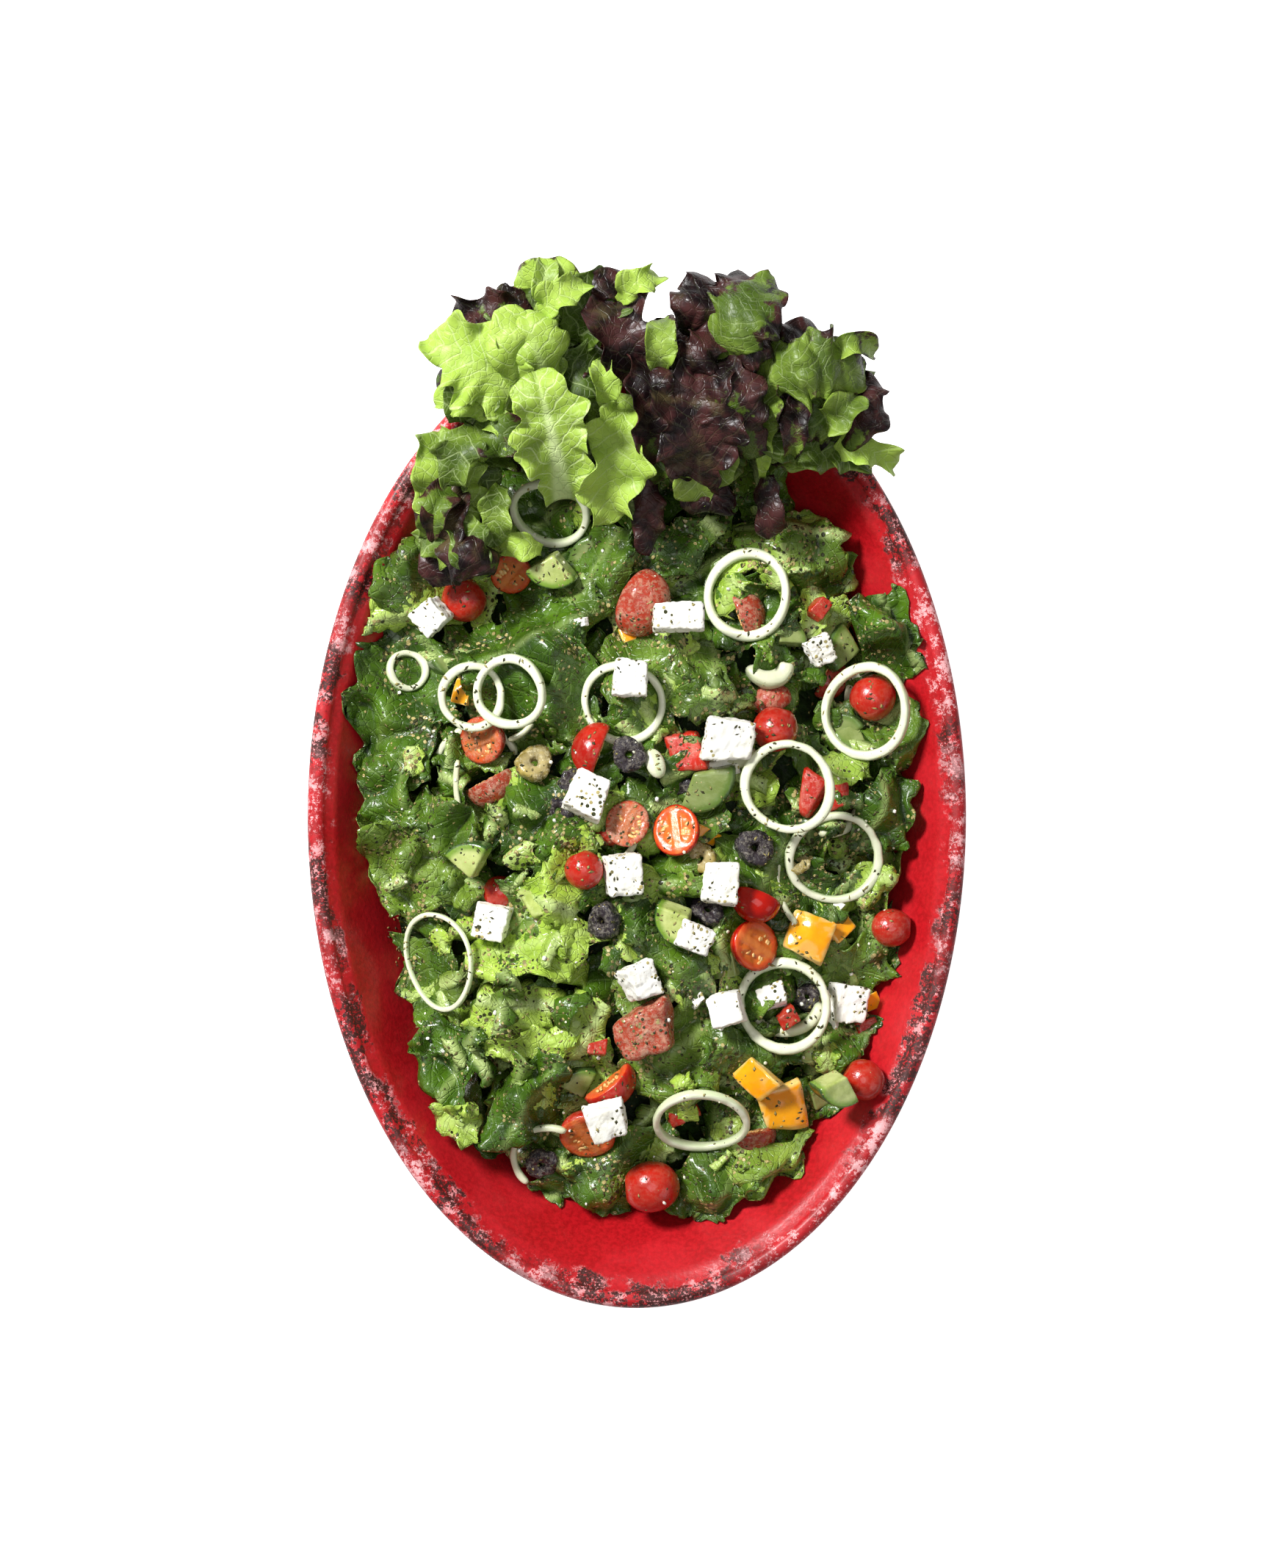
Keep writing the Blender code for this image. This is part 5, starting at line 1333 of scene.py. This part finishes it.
frilledGarnish = (
    ((50, 180, 128), (72, 190, 151), (97, 187, 128), 14.5, -0.7, -8, 3.0, 0.7, 0.30, 0.34, 0.3),
    ((82, 193, 134), (91, 201, 144), (101, 198, 130), 5.5, 1.2, 0, 1.6, 0.4, 0.50, 0.34, 0.3),
    ((56, 195, 132), (65, 203, 144), (75, 206, 130), 7.5, -0.8, 0, 3.0, 0.8, 0.25, 0.76, 0.1),
    ((91, 158, 122), (99, 173, 134), (98, 188, 120), 8.5, -0.8, 0, 3.0, 0.8, 0.25, 0.74, 0.1),
    ((66, 156, 128), (68, 166, 140), (69, 176, 130), 6.5, 1.0, 0, 2.2, 0.5, 0.35, 0.60, 0.3),
    ((85, 156, 114), (97, 158, 123), (109, 152, 110), 6.5, 0.6, 0, 3.2, 0.8, 1.00, 0.0, 0.2),
    ((54, 147, 118), (54, 158, 130), (54, 167, 122), 3.5, 0.8, 0, 1.6, 0.4, 0.60, 0.0, 0.2),
    ((57, 152, 112), (73, 157, 120), (91, 154, 110), 7, 0.5, 0, 2.4, 0.6, 0.22, 0.30, 0.3),
    ((78, 166, 122), (86, 172, 138), (92, 178, 130), 7, 0.9, 0, 3.0, 0.7, 0.40, 0.30, 0.2),
)
sideGarnish = (
    ((-70, 119, 104), (-80, 142, 117), (-86, 165, 111), 15, 0.8, -6, 3.4, 0.7, 0.50, 0.18, 0.3),
    ((-61, 129, 111), (-76, 116, 114), (-89, 101, 105), 13, -0.7, 0, 3.0, 0.8, 0.25, 0.75, 0.2),
    ((-70, 150, 112), (-66, 160, 119), (-60, 168, 112), 6, 0.6, 0, 2.4, 0.6, 0.90, 0.0, 0.2),
)


def garnishLeaf(base, middle, tip, halfWidth, bend, roll, frill, lobes, rib, seed):
    # a spine through three places; cross lines are arcs of the bend, as wide as a stalk that swells and
    # closes round; the outline is lobed, frills roll over at the edge, creases cross it and a rib stands on it
    draw = np.random.default_rng(seed)
    base, middle, tip = [np.array(place) * mm for place in (base, middle, tip)]
    length = np.linalg.norm(middle - base) + np.linalg.norm(tip - middle)
    rows, columns = int(np.clip(length / 0.0010, 24, 72)), int(np.clip(halfWidth * mm / 0.00068, 13, 27))
    t, s = np.meshgrid(np.linspace(0, 1, rows), np.linspace(-1, 1, columns), indexing="ij")
    t3, pull = t[..., None], 2 * middle - (base + tip) / 2
    spine = (1 - t3) ** 2 * base + 2 * t3 * (1 - t3) * pull + t3 ** 2 * tip
    along = unit(2 * (1 - t3) * (pull - base) + 2 * t3 * (tip - pull))
    across = unit(np.cross(along, np.array([0, 0, 1.0])))
    up = np.cross(across, along)
    tilt = math.radians(roll)
    across, up = across * math.cos(tilt) + up * math.sin(tilt), up * math.cos(tilt) - across * math.sin(tilt)
    side = np.sign(s + 1e-9)
    edge = np.abs(s)
    outline = (0.42 + 0.58 * smoothStep(t, 0.0, 0.45)) * np.sqrt(1 - 0.97 * t ** 6)
    waves = draw.uniform(0, 6, 6)
    scallop = np.sin(t * length / 0.0046 + waves[0] + 2 * side) + 0.5 * np.sin(t * length / 0.0015 + waves[1] + side)
    width = halfWidth * mm * outline * (1.15 + 0.26 * lobes * scallop * edge ** 2)
    lateral = width * np.sin(bend * s) / bend
    height = width * (1 - np.cos(bend * s)) / bend
    phase = t * length / 0.0026 + 1.2 * np.sin(t * length / 0.008 + waves[4]) + 1.7 * side
    swell = frill * mm * edge ** 2.2 * smoothStep(t, 0.03, 0.35)
    height = height + swell * (0.95 * np.sin(phase + waves[2]) + 0.34 * np.sin(2.4 * phase + waves[3]))
    lateral = lateral - side * swell * 0.45 * np.cos(phase + waves[2]) * edge
    flat = np.stack([t * length, lateral], -1)
    crest = np.exp(-(s * width / (0.0014 + 0.0042 * rib * (1 - t))) ** 2) * (1 - 0.6 * t)
    crease = np.abs(ripples(flat, 0.032, seed + 1)) * 0.0036 + np.abs(ripples(flat, 0.010, seed + 2)) * 0.0003
    height = height + crease * (1 - crest) * (0.4 + 0.6 * t) + 0.0009 * crest
    sheet = spine + across * lateral[..., None] + up * height[..., None]
    low = np.array([cadLow[0] - 0.008, cadLow[1], 0.099])
    high = np.array([cadHigh[0], cadHigh[1] + 0.010, cadHigh[2] + 0.006])
    return np.clip(sheet, low, high), crest, edge, t, flat


def makeGarnish(name, leaves, fillers, region, seed):
    # the placed leaves over a bed of darker ones that fills what is under them; the bed's darkness is partly painted
    # shade in the gaps
    draw = np.random.default_rng(seed)
    specs = list(leaves)
    x, y, halfWidth, halfLength = region
    for k in range(fillers):
        way, reach = draw.uniform(0, 2 * math.pi), math.sqrt(draw.uniform(0, 0.8))
        px, py = x + halfWidth * reach * math.cos(way), y + halfLength * reach * math.sin(way)
        turn, size = draw.uniform(0, 2 * math.pi), draw.uniform(9, 16)
        z = draw.uniform(106, 130)
        reachX, reachY = size * math.cos(turn), size * math.sin(turn)
        # dark filler tones, partly painted shade in the gaps under the placed leaves
        specs.append(((px - reachX, py - reachY, z - 5), (px, py, z + 4), (px + reachX, py + reachY, z - 4), draw.uniform(7, 12),
                      draw.uniform(0.3, 0.9) * draw.choice([-1, 1]), 0, 3.0, 0.7, draw.uniform(0.0, 0.42), draw.choice([0.0, 0.4, 0.9], p=[0.45, 0.3, 0.25]), 0.2))
    batch = Batch(name)
    for k, (base, middle, tip, half, bend, roll, frill, lobes, tone, purple, rib) in enumerate(specs):
        sheet, crest, edge, t, flat = garnishLeaf(base, middle, tip, half, bend, roll, frill, lobes, rib, seed + 7 * k)
        points, quads = shell(sheet, 0.0004 + 0.0014 * crest * rib)
        both = lambda field: np.concatenate([field.ravel(), field.ravel()])
        tint = np.clip(purple * (0.55 + 0.6 * t + 0.5 * edge ** 2), 0, 1) * (purple > 0)
        batch.add(points, quads, tone=both(tone + 0.15 * edge ** 2 + 0 * t), purple=both(tint), rib=both(crest * rib), pale=rib,
                  leafMap=np.stack([both(flat[..., 0]), both(flat[..., 1])], -1) + np.array([k * 0.29 % 3.0, 0.0]))
    return batch


def paintGarnish(nodes):
    # dark green to lime by tone, purple-brown where the purple value and a noise meet, pale rib and veins
    place = nodes.place()
    leafMap = nodes.put("ShaderNodeUVMap", uv_map="leafMap").outputs[0]
    line = useGroup(nodes, veins, Map=leafMap, Spacing=130.0, Width=0.14)
    tone = nodes.math("ADD", nodes.value("tone"), nodes.math("MULTIPLY", nodes.math("SUBTRACT", nodes.noise(place, 75.0, 4.0), 0.52), 1.0))
    dark = nodes.mix(nodes.noise(place, 120.0, 3.0), (0.018, 0.042, 0.003), (0.080, 0.135, 0.012))
    light = nodes.mix(nodes.noise(place, 60.0, 3.0), (0.20, 0.35, 0.022), (0.46, 0.62, 0.11))
    green = nodes.mix(nodes.ramp(tone, 0.08, 0.85), dark, light)
    deep = nodes.mix(nodes.ramp(nodes.noise(place, 90.0, 4.0), 0.40, 0.64), (0.006, 0.0020, 0.0028), (0.056, 0.017, 0.016))
    deep = nodes.mix(nodes.ramp(nodes.noise(place, 55.0, 3.0), 0.55, 0.74), deep, (0.085, 0.062, 0.026))
    border = nodes.math("SUBTRACT", nodes.value("purple"), nodes.math("MULTIPLY", nodes.noise(place, 110.0, 5.0, 0.65), 0.95))
    body = nodes.mix(nodes.ramp(border, -0.02, 0.09), green, deep)
    vein = nodes.math("MAXIMUM", nodes.math("MULTIPLY", line.outputs["Side veins"], 0.5), nodes.math("MULTIPLY", line.outputs["Net"], 0.2))
    vein = nodes.math("MULTIPLY", vein, nodes.math("ADD", nodes.value("pale"), 0.35))
    vein = nodes.math("MULTIPLY", vein, nodes.math("SUBTRACT", 1.0, nodes.math("MULTIPLY", nodes.ramp(nodes.value("purple"), 0.0, 0.6), 0.93)))
    vein = nodes.math("MAXIMUM", vein, nodes.ramp(nodes.value("rib"), 0.20, 0.80))
    body = nodes.mix(vein, body, (0.58, 0.70, 0.32))
    rough = nodes.math("ADD", nodes.math("MULTIPLY", nodes.noise(place, 130.0, 3.0), 0.30), 0.30)
    rough = nodes.math("SUBTRACT", rough, nodes.math("MULTIPLY", nodes.value("purple"), 0.08))
    relief = nodes.math("ADD", nodes.math("MULTIPLY", line.outputs["Net"], -0.5), nodes.math("MULTIPLY", line.outputs["Side veins"], -0.7))
    return body, rough, (nodes.math("ADD", relief, nodes.noise(place, 240.0, 3.0)), 0.5, 0.0007)


garnishLook = newMaterial("frilledLettuce", {"Specular IOR Level": 0.26, "Coat Weight": 0.05, "Coat Roughness": 0.2}, paintGarnish)
makeGarnish("green_garnish", greenGarnish, 34, (-42, 188, 34, 42), 3000).build(garnishLook, "green_leaf", ["garnish_green_leaves"])
makeGarnish("red_garnish", redGarnish, 30, (27, 184, 30, 38), 4000).build(garnishLook, "red_leaf", ["garnish_red_leaves"])
makeGarnish("frilled_garnish", frilledGarnish, 22, (76, 174, 22, 24), 5000).build(garnishLook, "green_leaf", ["garnish_frilled_leaves"])
makeGarnish("side_garnish", sideGarnish, 10, (-76, 134, 12, 26), 6000).build(garnishLook, "red_leaf", ["garnish_side_leaf"])
print("garnish set")


# camera, light and floor

def makeStage():
    mesh = bpy.data.meshes.new("table_top")
    mesh.from_pydata([(-30, -30, -0.0005), (30, -30, -0.0005), (30, 30, -0.0005), (-30, 30, -0.0005)], [], [(0, 1, 2, 3)])
    floor = bpy.data.objects.new("table_top", mesh)
    bpy.context.scene.collection.objects.link(floor)
    material = bpy.data.materials.new("paleTable")
    material.use_nodes = True
    nodes = Nodes(material.node_tree)
    shader = material.node_tree.nodes["Principled BSDF"]
    seen = nodes.put("ShaderNodeLightPath").outputs["Is Camera Ray"]  # bright to the eye, no extra light
    glow = nodes.mix(seen, (0.0, 0.0, 0.0), (1.0, 1.0, 1.0))
    look = {"Base Color": (0.9, 0.9, 0.9), "Roughness": 0.8, "Emission Color": glow, "Emission Strength": 0.85}
    for key, value in look.items():
        nodes.feed(shader.inputs[key], value)
    mesh.materials.append(material)


def addLight(name, place, size, power, target=(0, 0, 0.06), colour=(1, 1, 1)):
    data = bpy.data.lights.new(name, "AREA")
    data.energy, data.size, data.color = power, size, colour
    lamp = bpy.data.objects.new(name, data)
    bpy.context.scene.collection.objects.link(lamp)
    lamp.location = place
    lamp.rotation_euler = (Vector(target) - Vector(place)).to_track_quat("-Z", "Y").to_euler()


view = {"lens": 90.0, "frameHeight": 0.6837, "aim": (0.0003, 0.0141), "plane": 0.098}


def makeCamera():
    # looks straight down; the distance makes the long side of the frame span frameHeight at the rim
    data = bpy.data.cameras.new("overhead")
    data.lens, data.sensor_width = view["lens"], 36.0
    data.clip_start, data.clip_end = 0.05, 50.0
    camera = bpy.data.objects.new("overhead", data)
    bpy.context.scene.collection.objects.link(camera)
    distance = view["lens"] / 36.0 * view["frameHeight"]
    camera.location = (*view["aim"], view["plane"] + distance)
    bpy.context.scene.camera = camera


makeStage()
addLight("window", (-1.0, 0.9, 1.5), 0.40, 60.0)
addLight("overhead_soft", (0.1, -0.1, 2.4), 1.2, 9.0)
addLight("side_fill", (1.4, -0.9, 1.0), 1.0, 2.5)
makeCamera()
world = bpy.data.worlds.new("room")
bpy.context.scene.world = world
world.use_nodes = True
nodes = Nodes(world.node_tree)
seen = nodes.put("ShaderNodeLightPath").outputs["Is Camera Ray"]  # pale to the eye, dim as light
nodes.feed(world.node_tree.nodes["Background"].inputs["Color"], nodes.mix(seen, (0.20, 0.20, 0.20), (0.92, 0.92, 0.92)))
bpy.context.scene.view_settings.view_transform = "Standard"
